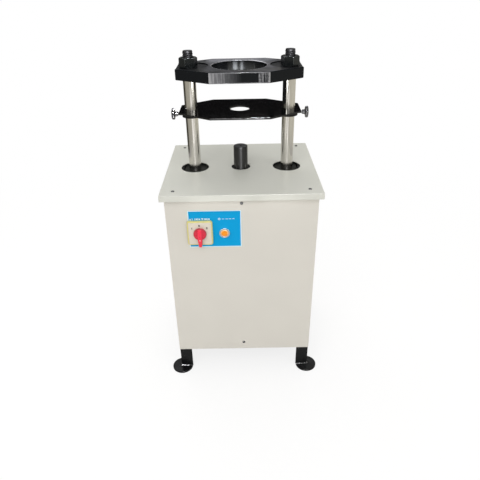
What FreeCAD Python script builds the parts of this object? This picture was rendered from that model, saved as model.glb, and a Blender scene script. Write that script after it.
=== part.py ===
"""Floor-standing electric-hydraulic sample extruder, as a parametric FreeCAD document.

A steel cabinet on four angle legs holds a hydraulic power pack and an upright cylinder.
Its ram rises through the lid, between two columns that carry a sliding tray and a crosshead.
Units are millimetres. X is the width, -Y the front, +Z up, with the origin on the floor below the ram.
"""
import FreeCAD, Part
import math
import os
import re

import Sketcher

# Driving dimensions. Every one of them can be changed by itself in the sheet.
SIZES = {
    # cabinet and its angle-steel frame
    "cabinet_width": 445.0,
    "cabinet_depth": 410.0,
    "cabinet_bottom": 84.0,
    "panel_sheet": 1.2,
    "panel_fold": 15.0,
    "panel_seam": 0.8,
    "leg_angle": 40.0,
    "leg_thick": 4.0,
    "rail_angle": 40.0,
    "disc_radius": 35.0,
    "disc_thick": 6.0,
    "disc_inset": 3.5,
    "shelf_sheet": 2.0,
    # lid
    "lid_top": 673.0,
    "lid_width": 470.0,
    "lid_depth": 435.0,
    "lid_lip": 18.5,
    "lid_sheet": 2.0,
    "lid_gap": 0.5,
    "lid_bend": 2.5,
    "column_opening": 44.0,
    "ram_opening": 30.0,
    "lid_screw_side": 25.5,
    "lid_screw_end": 19.0,
    # louvres in the rear panel
    "louvre_width": 120.0,
    "louvre_slot": 6.0,
    "louvre_hood": 5.0,
    "louvre_pitch": 22.0,
    "louvre_rows": 7.0,
    "louvre_bottom": 180.0,
    "louvre_centre": 95.0,
    # screws that hold the covers
    "screw_radius": 2.5,
    "screw_length": 8.0,
    "screw_head_radius": 4.8,
    "screw_head_height": 2.6,
    "screw_gap": 0.3,
    "panel_screw_inset": 29.0,
    # columns, crossheads and their nuts
    "column_spacing": 292.0,
    "column_radius": 19.0,
    "column_chamfer": 1.0,
    "stud_radius": 15.0,
    "stud_gap": 0.5,
    "stud_chamfer": 2.0,
    "nut_flats": 47.0,
    "nut_height": 26.0,
    "nut_gap": 0.2,
    "nut_turn": 15.0,
    "nut_taper": 60.0,
    "stud_end": 18.0,
    "lower_crosshead_top": 665.0,
    "lower_crosshead_thick": 40.0,
    "lower_crosshead_length": 360.0,
    "lower_crosshead_depth": 220.0,
    "crosshead_top": 982.5,
    "crosshead_thick": 30.0,
    "crosshead_length": 360.0,
    "crosshead_depth": 220.0,
    "crosshead_flat": 165.0,
    "crosshead_end": 100.0,
    "crosshead_bore": 80.0,
    "crosshead_bevel": 1.5,
    "spotface_radius": 57.0,
    "spotface_depth": 3.0,
    "bearer_height": 60.0,
    "bearer_flange": 32.0,
    "bearer_web": 5.0,
    "bearer_spacing": 150.0,
    "bearer_bolt_radius": 6.0,
    "bearer_bolt_span": 220.0,
    # tray with its collars and clamp screws
    "tray_top": 859.0,
    "tray_thick": 5.0,
    "tray_length": 359.0,
    "tray_depth": 220.0,
    "tray_flat": 170.0,
    "tray_end": 90.0,
    "tray_corner": 4.0,
    "tray_bore": 30.0,
    "collar_radius": 28.0,
    "collar_height": 17.0,
    "slide_gap": 0.08,
    "clamp_radius": 5.0,
    "clamp_gap": 0.1,
    "clamp_drop": 9.0,
    "clamp_tip_radius": 4.0,
    "clamp_tip_length": 3.0,
    "clamp_tip_gap": 0.3,
    "knob_radius": 18.0,
    "knob_thick": 10.0,
    "knob_standoff": 22.0,
    "knob_boss_radius": 7.5,
    "knob_boss_length": 9.0,
    "knob_scallop": 6.5,
    "knob_lobes": 5.0,
    "knob_edge": 1.2,
    # hydraulic cylinder and ram
    "ram_radius": 22.0,
    "ram_top": 742.5,
    "ram_edge": 2.5,
    "ram_stroke": 300.0,
    "ram_gap": 0.05,
    "barrel_radius": 41.0,
    "barrel_bore": 32.0,
    "head_flange_radius": 70.0,
    "head_flange_thick": 20.0,
    "head_neck_radius": 39.0,
    "head_body_radius": 48.0,
    "head_body_length": 40.0,
    "head_spigot": 14.0,
    "head_gap": 0.3,
    "wiper_radius": 28.5,
    "wiper_height": 5.0,
    "piston_length": 40.0,
    "piston_gap": 0.1,
    "piston_groove": 4.0,
    "end_clearance": 3.0,
    "cap_radius": 55.0,
    "cap_thick": 22.0,
    "cap_spigot": 14.0,
    "flange_bolt_circle": 56.0,
    "flange_bolt_radius": 5.0,
    # motor, bell housing and gear pump
    "pack_rear_gap": 3.0,
    "pack_side_gap": 21.3,
    "shaft_height": 68.0,
    "motor_radius": 52.0,
    "motor_length": 150.0,
    "motor_shoulder": 10.0,
    "motor_step": 8.0,
    "fin_height": 7.0,
    "fin_root": 2.0,
    "fin_inset": 5.0,
    "fin_thick": 3.0,
    "fin_count": 28.0,
    "motor_foot_width": 100.0,
    "motor_foot_root": 5.0,
    "motor_foot_length": 90.0,
    "motor_foot_thick": 8.0,
    "fan_cover_length": 46.0,
    "fan_cover_sheet": 1.5,
    "fan_cover_lap": 12.0,
    "fan_cover_gap": 0.2,
    "fan_cover_bevel": 8.0,
    "fan_cover_step": 10.0,
    "fan_slot": 6.0,
    "fan_slots": 16.0,
    "fan_radius": 46.0,
    "fan_width": 16.0,
    "fan_blades": 8.0,
    "fan_blade_thick": 3.0,
    "shaft_radius": 9.5,
    "shaft_gap": 0.08,
    "terminal_width": 86.0,
    "terminal_depth": 74.0,
    "terminal_height": 40.0,
    "seam_width": 1.5,
    "seam_depth": 1.0,
    "coupling_radius": 22.0,
    "coupling_length": 36.0,
    "coupling_gap": 4.0,
    "jaw_width": 6.0,
    "jaw_depth": 5.0,
    "jaw_gap": 3.0,
    "bell_length": 58.0,
    "bell_radius": 58.0,
    "bell_wall": 6.0,
    "bell_neck": 16.0,
    "bell_window": 28.0,
    "pump_length": 76.0,
    "pump_height": 92.0,
    "pump_width": 66.0,
    "pump_port_radius": 12.0,
    "pump_port_height": 8.0,
    "pump_stub": 10.0,
    "pump_stub_room": 4.0,
    # oil tank, valve and pipes
    "tank_side_gap": 25.3,
    "tank_width": 236.0,
    "tank_front_gap": 7.0,
    "tank_depth": 116.0,
    "tank_height": 200.0,
    "tank_sheet": 2.0,
    "tank_lid_thick": 3.0,
    "breather_radius": 20.0,
    "breather_height": 34.0,
    "block_width": 84.0,
    "block_depth": 60.0,
    "block_height": 60.0,
    "block_inset": 70.0,
    "valve_height": 44.0,
    "valve_width": 46.0,
    "coil_radius": 19.0,
    "coil_length": 44.0,
    "pipe_radius": 5.0,
    "pipe_bend": 24.0,
    "hose_radius": 9.0,
    "fitting_flats": 19.0,
    "fitting_length": 12.0,
    # wiring
    "box_width": 78.0,
    "box_depth": 150.0,
    "box_height": 170.0,
    "box_bottom": 330.0,
    "box_rear_gap": 3.8,
    "box_wall": 2.0,
    "box_lid": 12.0,
    "gland_radius": 11.0,
    "gland_length": 16.0,
    "gland_bore": 5.0,
    "gland_nut_flats": 24.0,
    "gland_nut_thick": 5.0,
    "gland_leg_gap": 31.3,
    "gland_rise": 66.0,
    # control plate, switch and lamp
    "plate_side_gap": 64.8,
    "plate_width": 155.7,
    "plate_top_gap": 51.5,
    "plate_height": 121.0,
    "plate_thick": 1.5,
    "switch_inset": 33.7,
    "switch_rise": 51.0,
    "bezel_width": 75.0,
    "bezel_height": 79.0,
    "bezel_thick": 8.0,
    "bezel_rim": 3.5,
    "bezel_corner": 7.0,
    "face_thick": 1.5,
    "face_gap": 0.3,
    "handle_radius": 19.0,
    "handle_base": 5.0,
    "handle_lever": 42.0,
    "handle_root": 14.0,
    "handle_tip": 9.0,
    "lever_inset": 1.0,
    "handle_height": 14.0,
    "handle_gap": 0.5,
    "handle_shaft": 4.0,
    "handle_shaft_gap": 0.1,
    "switch_body": 48.0,
    "switch_body_length": 56.0,
    "lamp_inset": 106.0,
    "lamp_rise": 49.5,
    "lamp_bezel_radius": 16.0,
    "lamp_bezel_thick": 6.0,
    "lamp_lens_radius": 11.5,
    "lamp_lens_height": 9.0,
    "lamp_body_radius": 11.0,
    "lamp_body_length": 44.0,
    "lamp_gap": 0.2,
}

# Places that follow from the driving dimensions, as expressions in their names.
FRAME_X = "(cabinet_width / 2 - panel_sheet)"
FRAME_Y = "(cabinet_depth / 2 - panel_sheet)"
INNER_X = f"({FRAME_X} - leg_thick)"
INNER_Y = f"({FRAME_Y} - leg_thick)"
LEG_X = f"({FRAME_X} - leg_angle)"
LEG_Y = f"({FRAME_Y} - leg_angle)"
GLAND_X = f"({LEG_X} - gland_leg_gap)"
GLAND_Z = "(cabinet_bottom + gland_rise)"
FRAME_TOP = "(lid_top - lid_sheet)"
SHELF_TOP = "(cabinet_bottom + leg_thick + shelf_sheet)"
COLUMN_X = "(column_spacing / 2)"
LOWER_UNDERSIDE = "(lower_crosshead_top - lower_crosshead_thick)"
UPPER_UNDERSIDE = "(crosshead_top - crosshead_thick)"
BEARER_BOTTOM = f"({LOWER_UNDERSIDE} - bearer_height)"
CLAMP_Z = "(tray_top - tray_thick - clamp_drop)"
HEAD_FLANGE_BOTTOM = f"({LOWER_UNDERSIDE} - head_flange_thick)"
BARREL_TOP = f"({HEAD_FLANGE_BOTTOM} - head_body_length)"
PISTON_TOP = f"({BARREL_TOP} - head_spigot - end_clearance - ram_stroke)"
PISTON_BOTTOM = f"({PISTON_TOP} - piston_length)"
BARREL_BOTTOM = f"({PISTON_BOTTOM} - end_clearance - cap_spigot)"
CAP_BOTTOM = f"({BARREL_BOTTOM} - cap_thick)"
SHAFT_Z = f"({SHELF_TOP} + shaft_height)"
MOTOR_X = f"(pack_side_gap - {FRAME_X} + fan_cover_length)"
PACK_Y = f"({INNER_Y} - pack_rear_gap - motor_radius - fin_height)"
BELL_X = f"({MOTOR_X} + motor_length)"
PUMP_X = f"({BELL_X} + bell_length)"
TANK_TOP = f"({SHELF_TOP} + tank_height)"
TANK_LEFT = f"({FRAME_X} - tank_side_gap - tank_width)"
TANK_FRONT = f"(tank_front_gap - {FRAME_Y})"
BLOCK_BOTTOM = f"({TANK_TOP} + tank_lid_thick)"
BLOCK_LEFT = f"({TANK_LEFT} + block_inset)"
BLOCK_Y = f"({TANK_FRONT} + tank_depth / 2)"
BOX_FRONT = f"({LEG_Y} - box_depth - box_rear_gap)"
PANEL_FRONT = "(-cabinet_depth / 2)"
PLATE_FRONT = f"({PANEL_FRONT} - plate_thick)"
PANEL_TOP = f"({FRAME_TOP} - lid_gap)"
PLATE_LEFT = "(plate_side_gap - cabinet_width / 2)"
PLATE_BOTTOM = f"({PANEL_TOP} - plate_top_gap - plate_height)"
SWITCH_X = f"({PLATE_LEFT} + switch_inset)"
SWITCH_Z = f"({PLATE_BOTTOM} + switch_rise)"
LAMP_X = f"({PLATE_LEFT} + lamp_inset)"
LAMP_Z = f"({PLATE_BOTTOM} + lamp_rise)"

# How far a cutting sketch reaches past the face that it opens.
OVERRUN = "1"
# Edges closer than this to a level count as lying in it.
LEVEL_TOLERANCE = 1e-3

doc = FreeCAD.newDocument("SampleExtruder")
sheet = doc.addObject("Spreadsheet::Sheet", "Sizes")
for row, (alias, size) in enumerate(SIZES.items(), start=1):
    sheet.set(f"A{row}", alias)
    sheet.set(f"B{row}", str(size))
    sheet.setAlias(f"B{row}", alias)
doc.recompute()

nodes = []


def bound(expression):
    """The expression with every driving dimension written as a reference to its cell."""
    def reference(match):
        word = match.group(0)
        return f"{sheet.Name}.{word}" if word in SIZES else word
    return re.sub(r"[a-z_][a-z0-9_]*", reference, str(expression))


def value(expression):
    """What an expression is worth now."""
    return float(sheet.evalExpression(bound(expression)))


def bind(thing, target, expression):
    thing.setExpression(target, bound(expression))


def place(piece, x="0", y="0", z="0", axis=(0, 0, 1), angle=0.0):
    """Seat a piece at a point that follows the sheet, turned about an axis."""
    rotation = FreeCAD.Rotation(FreeCAD.Vector(*axis), angle)
    piece.Placement = FreeCAD.Placement(FreeCAD.Vector(value(x), value(y), value(z)), rotation)
    for letter, expression in (("x", x), ("y", y), ("z", z)):
        bind(piece, f"Placement.Base.{letter}", expression)


def new_body(label, **seat):
    """A part design body that becomes one node."""
    piece = doc.addObject("PartDesign::Body", label)
    piece.Label = label
    place(piece, **seat)
    nodes.append(piece)
    return piece


def sketch(piece, plane="XY", level="0"):
    """An empty sketch on one of the body's own planes, raised along the plane's normal."""
    drawing = piece.newObject("Sketcher::SketchObject", f"{piece.Name}_sketch")
    for feature in piece.Origin.OriginFeatures:
        if feature.Role == f"{plane}_Plane":
            drawing.AttachmentSupport = (feature, [""])
    drawing.MapMode = "FlatFace"
    bind(drawing, "AttachmentOffset.Base.z", level)
    return drawing


def hold(drawing, geometry, point, x, y):
    """Tie one point of a sketch to the sheet."""
    for kind, expression in (("DistanceX", x), ("DistanceY", y)):
        constraint = Sketcher.Constraint(kind, -1, 1, geometry, point, value(expression))
        number = drawing.addConstraint(constraint)
        bind(drawing, f"Constraints[{number}]", expression)


def circle(drawing, x, y, radius):
    centre = FreeCAD.Vector(value(x), value(y), 0)
    geometry = drawing.addGeometry(Part.Circle(centre, FreeCAD.Vector(0, 0, 1), value(radius)))
    hold(drawing, geometry, 3, x, y)
    number = drawing.addConstraint(Sketcher.Constraint("Radius", geometry, value(radius)))
    bind(drawing, f"Constraints[{number}]", radius)


def polygon(drawing, corners):
    """A closed outline of straight lines through corners given as pairs of expressions."""
    points = [FreeCAD.Vector(value(x), value(y), 0) for x, y in corners]
    lines = []
    for start, end in zip(points, points[1:] + points[:1]):
        lines.append(drawing.addGeometry(Part.LineSegment(start, end)))
    for line, following in zip(lines, lines[1:] + lines[:1]):
        drawing.addConstraint(Sketcher.Constraint("Coincident", line, 2, following, 1))
    for line, (x, y) in zip(lines, corners):
        hold(drawing, line, 1, x, y)


def rectangle(drawing, left, right, bottom, top):
    polygon(drawing, [(left, bottom), (right, bottom), (right, top), (left, top)])


def seam_ring(drawing, left, right, bottom, top):
    """The band that a groove round a box cuts away, between its faces and its floor."""
    rectangle(drawing, f"{left} - {OVERRUN}", f"{right} + {OVERRUN}", f"{bottom} - {OVERRUN}",
              f"{top} + {OVERRUN}")
    rectangle(drawing, f"{left} + seam_depth", f"{right} - seam_depth", f"{bottom} + seam_depth",
              f"{top} - seam_depth")


def hexagon(drawing, flats, x="0", y="0", turn="0"):
    """A hexagon with a corner on the sketch's X axis, turned by an angle in degrees."""
    corner = f"(({flats}) / 2 / cos(30))"
    corners = []
    for step in range(6):
        angle = f"({60 * step} + {turn})"
        corners.append((f"{x} + {corner} * cos({angle})", f"{y} + {corner} * sin({angle})"))
    polygon(drawing, corners)


def pad(piece, drawing, length, back=False, middle=False):
    feature = piece.newObject("PartDesign::Pad", f"{piece.Name}_pad")
    feature.Profile = drawing
    feature.Reversed = back
    if middle:
        feature.SideType = "Symmetric"
    bind(feature, "Length", length)
    return feature


def pocket(piece, drawing, length=None, back=False):
    """Cut against the sketch's normal, or along it with back, through everything if no length is given."""
    doc.recompute()
    before = piece.Shape.Volume
    feature = piece.newObject("PartDesign::Pocket", f"{piece.Name}_pocket")
    feature.Profile = drawing
    feature.Reversed = back
    if length is None:
        feature.Type = "ThroughAll"
    else:
        bind(feature, "Length", length)
    doc.recompute()
    if piece.Shape.Volume >= before:
        raise RuntimeError(f"a pocket in {piece.Label} cuts nothing")
    return feature


def spin(piece, drawing, axis="V_Axis"):
    """A full turn of a closed profile about one of its sketch's axes."""
    feature = piece.newObject("PartDesign::Revolution", f"{piece.Name}_turned")
    feature.Profile = drawing
    feature.ReferenceAxis = (drawing, [axis])
    feature.Angle = 360
    return feature


def turn_off(piece, drawing, axis="V_Axis"):
    """Remove a full turn of a closed profile."""
    doc.recompute()
    before = piece.Shape.Volume
    feature = piece.newObject("PartDesign::Groove", f"{piece.Name}_groove")
    feature.Profile = drawing
    feature.ReferenceAxis = (drawing, [axis])
    feature.Angle = 360
    doc.recompute()
    if piece.Shape.Volume >= before:
        raise RuntimeError(f"a groove in {piece.Label} cuts nothing")
    return feature


def origin_axis(piece, letter):
    for feature in piece.Origin.OriginFeatures:
        if feature.Role == f"{letter}_Axis":
            return feature
    raise RuntimeError(f"{piece.Label} has no {letter} axis")


def polar(piece, feature, letter, count):
    """Repeat a feature evenly about one of the body's own axes."""
    doc.recompute()
    pattern = piece.newObject("PartDesign::PolarPattern", f"{piece.Name}_polar")
    pattern.Originals = [feature]
    pattern.Axis = (origin_axis(piece, letter), [""])
    pattern.Angle = 360
    bind(pattern, "Occurrences", count)
    piece.Tip = pattern
    return pattern


def edges_where(piece, test):
    """The names of the edges of a body's last feature whose bounding box passes a test."""
    doc.recompute()
    names = []
    for number, edge in enumerate(piece.Tip.Shape.Edges, start=1):
        if test(edge.BoundBox):
            names.append(f"Edge{number}")
    if not names:
        raise RuntimeError(f"{piece.Label} has no such edge")
    return names


def dress(piece, kind, size, test):
    """A fillet or chamfer on the edges that pass the test."""
    names = edges_where(piece, test)
    base = piece.Tip
    feature = piece.newObject(f"PartDesign::{kind}", f"{piece.Name}_{kind.lower()}")
    feature.Base = (base, names)
    bind(feature, "Radius" if kind == "Fillet" else "Size", size)
    return feature


def flat_at(level, letter="Z"):
    """A test for edges that lie in one level plane of the body."""
    height = value(level)

    def test(box):
        low = getattr(box, f"{letter}Min")
        high = getattr(box, f"{letter}Max")
        return abs(low - height) < LEVEL_TOLERANCE and abs(high - height) < LEVEL_TOLERANCE
    return test


def edges_along(length, letter="Z"):
    """A test for edges that run a whole length along one axis."""
    least = value(length) - LEVEL_TOLERANCE
    return lambda box: getattr(box, f"{letter}Length") > least


# ---------------------------------------------------------------- cabinet frame

def angle_legs():
    """Four upright steel angles at the corners, from the discs to the lid."""
    legs = new_body("legs", z="disc_thick")
    section = sketch(legs)
    for side in (-1, 1):
        for hand in (-1, 1):
            polygon(section, [
                (f"{hand} * {FRAME_X}", f"{side} * {FRAME_Y}"),
                (f"{hand} * {LEG_X}", f"{side} * {FRAME_Y}"),
                (f"{hand} * {LEG_X}", f"{side} * {INNER_Y}"),
                (f"{hand} * {INNER_X}", f"{side} * {INNER_Y}"),
                (f"{hand} * {INNER_X}", f"{side} * {LEG_Y}"),
                (f"{hand} * {FRAME_X}", f"{side} * {LEG_Y}"),
            ])
    pad(legs, section, f"{FRAME_TOP} - disc_thick")


def foot_discs():
    """Round plates welded under the four legs."""
    discs = new_body("foot_discs")
    outline = sketch(discs)
    for side_x in (-1, 1):
        for side_y in (-1, 1):
            x = f"{side_x} * ({FRAME_X} - disc_inset)"
            y = f"{side_y} * ({FRAME_Y} - disc_inset)"
            circle(outline, x, y, "disc_radius")
    pad(discs, outline, "disc_thick")
    dress(discs, "Chamfer", "disc_thick / 6", flat_at("disc_thick"))


def frame_rails(label, level, inward):
    """A ring of steel angles between the legs.

    The level flanges lie at the given height and the upright ones run inward from them,
    -1 for down and 1 for up.
    """
    rails = new_body(label, z=level)
    flat = sketch(rails)
    for side in (-1, 1):
        rectangle(flat, f"-{LEG_X}", LEG_X, f"{side} * ({FRAME_Y} - rail_angle)", f"{side} * {FRAME_Y}")
        x_outer = f"{side} * {FRAME_X}"
        x_inner = f"{side} * {INNER_X}"
        x_edge = f"{side} * {LEG_X}"
        polygon(flat, [
            (x_edge, f"-{INNER_Y}"), (x_inner, f"-{INNER_Y}"), (x_inner, f"-{LEG_Y}"),
            (x_outer, f"-{LEG_Y}"), (x_outer, LEG_Y), (x_inner, LEG_Y),
            (x_inner, INNER_Y), (x_edge, INNER_Y),
        ])
    pad(rails, flat, "leg_thick", back=inward < 0)
    upright = sketch(rails)
    for side in (-1, 1):
        rectangle(upright, f"-{LEG_X}", LEG_X, f"{side} * {INNER_Y}", f"{side} * {FRAME_Y}")
        rectangle(upright, f"{side} * {INNER_X}", f"{side} * {FRAME_X}", f"-{LEG_Y}", LEG_Y)
    pad(rails, upright, "rail_angle", back=inward < 0)
    return rails


def side_bearers():
    """Angles along both sides that carry the cross bearers."""
    bearers = new_body("side_bearers", z=BEARER_BOTTOM)
    section = sketch(bearers, "XZ", f"-{LEG_Y}")
    for side in (-1, 1):
        polygon(section, [
            (f"{side} * {FRAME_X}", "0"),
            (f"{side} * ({FRAME_X} - rail_angle)", "0"),
            (f"{side} * ({FRAME_X} - rail_angle)", "-leg_thick"),
            (f"{side} * {INNER_X}", "-leg_thick"),
            (f"{side} * {INNER_X}", "-rail_angle"),
            (f"{side} * {FRAME_X}", "-rail_angle"),
        ])
    pad(bearers, section, f"2 * {LEG_Y}")


def cross_bearers():
    """Two channels under the lower crosshead, with their webs towards the cylinder."""
    bearers = new_body("cross_bearers", z=BEARER_BOTTOM)
    section = sketch(bearers, "YZ", f"-{INNER_X}")
    for side in (-1, 1):
        web = f"{side} * bearer_spacing / 2"
        web_far = f"{side} * (bearer_spacing / 2 + bearer_web)"
        edge = f"{side} * (bearer_spacing / 2 + bearer_flange)"
        polygon(section, [
            (web, "0"), (edge, "0"), (edge, "bearer_web"), (web_far, "bearer_web"),
            (web_far, "bearer_height - bearer_web"), (edge, "bearer_height - bearer_web"),
            (edge, "bearer_height"), (web, "bearer_height"),
        ])
    pad(bearers, section, f"2 * {INNER_X}")
    holes = sketch(bearers, "XY", "bearer_height")
    bolt_pattern(holes, "bearer_bolt_radius + stud_gap")
    pocket(bearers, holes, "bearer_web")


def bolt_pattern(drawing, radius):
    """Circles at the four bolts that join the lower crosshead to its bearers."""
    for side_x in (-1, 1):
        for side_y in (-1, 1):
            x = f"{side_x} * bearer_bolt_span / 2"
            y = f"{side_y} * (bearer_spacing / 2 + (bearer_web + bearer_flange) / 2)"
            circle(drawing, x, y, radius)


def base_shelf():
    """Sheet floor of the cabinet, on the bottom rails."""
    shelf = new_body("base_shelf", z="cabinet_bottom + leg_thick")
    outline = sketch(shelf)
    rectangle(outline, f"-{INNER_X}", INNER_X, f"-{INNER_Y}", INNER_Y)
    pad(shelf, outline, "shelf_sheet")


# ---------------------------------------------------------------- covers

def lid():
    """Folded sheet lid with a lip all round and a return flange towards the cabinet."""
    cover = new_body("lid", z="lid_top - lid_lip")
    outline = sketch(cover)
    rectangle(outline, "-lid_width / 2", "lid_width / 2", "-lid_depth / 2", "lid_depth / 2")
    pad(cover, outline, "lid_lip")
    dress(cover, "Fillet", "lid_bend", edges_along("lid_lip"))
    dress(cover, "Fillet", "lid_bend", flat_at("lid_lip"))
    cavity = sketch(cover, "XY", "lid_sheet")
    half_x = "(lid_width / 2 - lid_sheet)"
    half_y = "(lid_depth / 2 - lid_sheet)"
    rectangle(cavity, f"-{half_x}", half_x, f"-{half_y}", half_y)
    pocket(cover, cavity, "lid_lip - 2 * lid_sheet", back=True)
    mouth = sketch(cover)
    half_x = "(cabinet_width / 2 + lid_gap)"
    half_y = "(cabinet_depth / 2 + lid_gap)"
    rectangle(mouth, f"-{half_x}", half_x, f"-{half_y}", half_y)
    pocket(cover, mouth, "lid_sheet", back=True)
    holes = sketch(cover, "XY", "lid_lip")
    circle(holes, "0", "0", "ram_opening")
    for side in (-1, 1):
        circle(holes, f"{side} * {COLUMN_X}", "0", "column_opening")
    lid_screws(holes, "screw_radius + screw_gap")
    pocket(cover, holes, "2 * lid_sheet")


def lid_screws(drawing, radius):
    """Circles at the four corner screws of the lid."""
    for side_x in (-1, 1):
        for side_y in (-1, 1):
            x = f"{side_x} * (cabinet_width / 2 - lid_screw_side)"
            y = f"{side_y} * (cabinet_depth / 2 - lid_screw_end)"
            circle(drawing, x, y, radius)


def front_screws(drawing, radius):
    """Circles at the screws of the front and rear panels, one above the other."""
    circle(drawing, "0", f"{PANEL_TOP} - panel_screw_inset", radius)
    circle(drawing, "0", "cabinet_bottom + panel_screw_inset", radius)


def side_screws(drawing, radius):
    """Circles at the screws of the side panels, in a sketch of Y and Z."""
    for side in (-1, 1):
        y = f"{side} * cabinet_depth / 4"
        circle(drawing, y, f"{PANEL_TOP} - panel_screw_inset", radius)
        circle(drawing, y, "cabinet_bottom + panel_screw_inset", radius)


def faced_panel(label, side):
    """Front or rear panel: a flat face whose edges fold back along both sides."""
    panel = new_body(label)
    outline = sketch(panel, "XY", "cabinet_bottom")
    y_face = f"{side} * cabinet_depth / 2"
    y_back = f"{side} * (cabinet_depth / 2 - panel_sheet)"
    y_fold = f"{side} * (cabinet_depth / 2 - panel_fold)"
    polygon(outline, [
        ("-cabinet_width / 2", y_fold), ("-cabinet_width / 2", y_face),
        ("cabinet_width / 2", y_face), ("cabinet_width / 2", y_fold),
        (FRAME_X, y_fold), (FRAME_X, y_back), (f"-{FRAME_X}", y_back), (f"-{FRAME_X}", y_fold),
    ])
    pad(panel, outline, f"{PANEL_TOP} - cabinet_bottom")
    holes = sketch(panel, "XZ", f"{-side} * cabinet_depth / 2")
    front_screws(holes, "screw_radius + screw_gap")
    return panel, holes


def front_panel():
    panel, holes = faced_panel("front_panel", -1)
    circle(holes, SWITCH_X, SWITCH_Z, "handle_shaft + handle_shaft_gap")
    circle(holes, LAMP_X, LAMP_Z, "lamp_body_radius + lamp_gap")
    pocket(panel, holes, "2 * panel_sheet")


def rear_panel():
    """Rear panel with two columns of hooded louvres and the hole of the cable gland."""
    panel, holes = faced_panel("rear_panel", 1)
    circle(holes, GLAND_X, GLAND_Z, "gland_radius * 0.8 + screw_gap")
    pocket(panel, holes, "2 * panel_sheet", back=True)
    row = []
    for side in (-1, 1):
        row.extend(louvre(panel, f"({side} * louvre_centre - louvre_width / 2)"))
    doc.recompute()
    rows = panel.newObject("PartDesign::LinearPattern", "louvre_rows")
    rows.Originals = row
    rows.Direction = (origin_axis(panel, "Z"), [""])
    bind(rows, "Length", "louvre_pitch * (louvre_rows - 1)")
    bind(rows, "Occurrences", "louvre_rows")
    panel.Tip = rows


def louvre(panel, start):
    """One hood on the rear face and the open mouth under it, through the sheet."""
    face = "(cabinet_depth / 2)"
    hood = sketch(panel, "YZ", start)
    polygon(hood, [
        (face, "louvre_bottom"),
        (f"{face} + louvre_hood", "louvre_bottom"),
        (f"{face} + louvre_hood", "louvre_bottom + panel_sheet"),
        (face, "louvre_bottom + 2 * louvre_slot"),
    ])
    cover = pad(panel, hood, "louvre_width")
    mouth = sketch(panel, "YZ", f"{start} + panel_sheet")
    polygon(mouth, [
        (f"{face} - 2 * panel_sheet", "louvre_bottom - panel_sheet"),
        (f"{face} + louvre_hood - panel_sheet", "louvre_bottom - panel_sheet"),
        (f"{face} + louvre_hood - panel_sheet", "louvre_bottom + panel_sheet / 2"),
        (f"{face} - panel_sheet / 2", "louvre_bottom + louvre_slot * 1.7"),
        (f"{face} - 2 * panel_sheet", "louvre_bottom + louvre_slot * 1.7"),
    ])
    opening = pocket(panel, mouth, "louvre_width - 2 * panel_sheet", back=True)
    return cover, opening


def side_panel(label, side):
    """Flat side sheet between the folds of the front and rear panels."""
    panel = new_body(label)
    outline = sketch(panel, "XY", "cabinet_bottom")
    reach = "(cabinet_depth / 2 - panel_fold - panel_seam)"
    rectangle(outline, f"{side} * {FRAME_X}", f"{side} * cabinet_width / 2", f"-{reach}", reach)
    pad(panel, outline, f"{PANEL_TOP} - cabinet_bottom")
    holes = sketch(panel, "YZ", f"{side} * cabinet_width / 2")
    side_screws(holes, "screw_radius + screw_gap")
    pocket(panel, holes, "2 * panel_sheet", back=side < 0)


def cover_screws():
    """Pan-head screws of the lid and the four panels, each through its sheet into the frame."""
    screws = new_body("cover_screws")
    faces = [
        ("XY", "lid_top", lid_screws, False),
        ("XZ", "cabinet_depth / 2", front_screws, False),
        ("XZ", "-cabinet_depth / 2", front_screws, True),
        ("YZ", "cabinet_width / 2", side_screws, False),
        ("YZ", "-cabinet_width / 2", side_screws, True),
    ]
    for plane, level, layout, back in faces:
        heads = sketch(screws, plane, level)
        layout(heads, "screw_head_radius")
        pad(screws, heads, "screw_head_height", back=back)
        shanks = sketch(screws, plane, level)
        layout(shanks, "screw_radius")
        pad(screws, shanks, "screw_length", back=not back)


def tapped(rails, height):
    """Threaded holes of the panel screws in one ring of rails, and of the lid in the top one."""
    for plane, half, layout in (("XZ", "cabinet_depth / 2", "x"), ("YZ", "cabinet_width / 2", "y")):
        for side in (-1, 1):
            holes = sketch(rails, plane, f"{side} * {half}")
            if layout == "x":
                circle(holes, "0", height, "screw_radius")
            else:
                for end in (-1, 1):
                    circle(holes, f"{end} * cabinet_depth / 4", height, "screw_radius")
            pocket(rails, holes, f"panel_sheet + leg_thick + {OVERRUN}", back=side < 0)


def cable_gland():
    """Screwed gland of the supply cable in the rear panel, with its lock nut inside."""
    gland = new_body("cable_gland", x=GLAND_X, y="cabinet_depth / 2", z=GLAND_Z)
    flange = sketch(gland, "XZ")
    hexagon(flange, "gland_nut_flats")
    pad(gland, flange, "gland_nut_thick", back=True)
    dome = sketch(gland, "XZ", "-gland_nut_thick")
    circle(dome, "0", "0", "gland_radius")
    pad(gland, dome, "gland_length - gland_nut_thick", back=True)
    dress(gland, "Fillet", "gland_radius / 5", flat_at("gland_length", "Y"))
    thread = sketch(gland, "XZ")
    circle(thread, "0", "0", "gland_radius * 0.8")
    pad(gland, thread, "panel_sheet + gland_nut_thick")
    nut = sketch(gland, "XZ", "panel_sheet")
    hexagon(nut, "gland_nut_flats")
    pad(gland, nut, "gland_nut_thick")
    bore = sketch(gland, "XZ", "2 * gland_nut_thick")
    circle(bore, "0", "0", "gland_bore")
    pocket(gland, bore)


# ---------------------------------------------------------------- press frame

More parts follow.
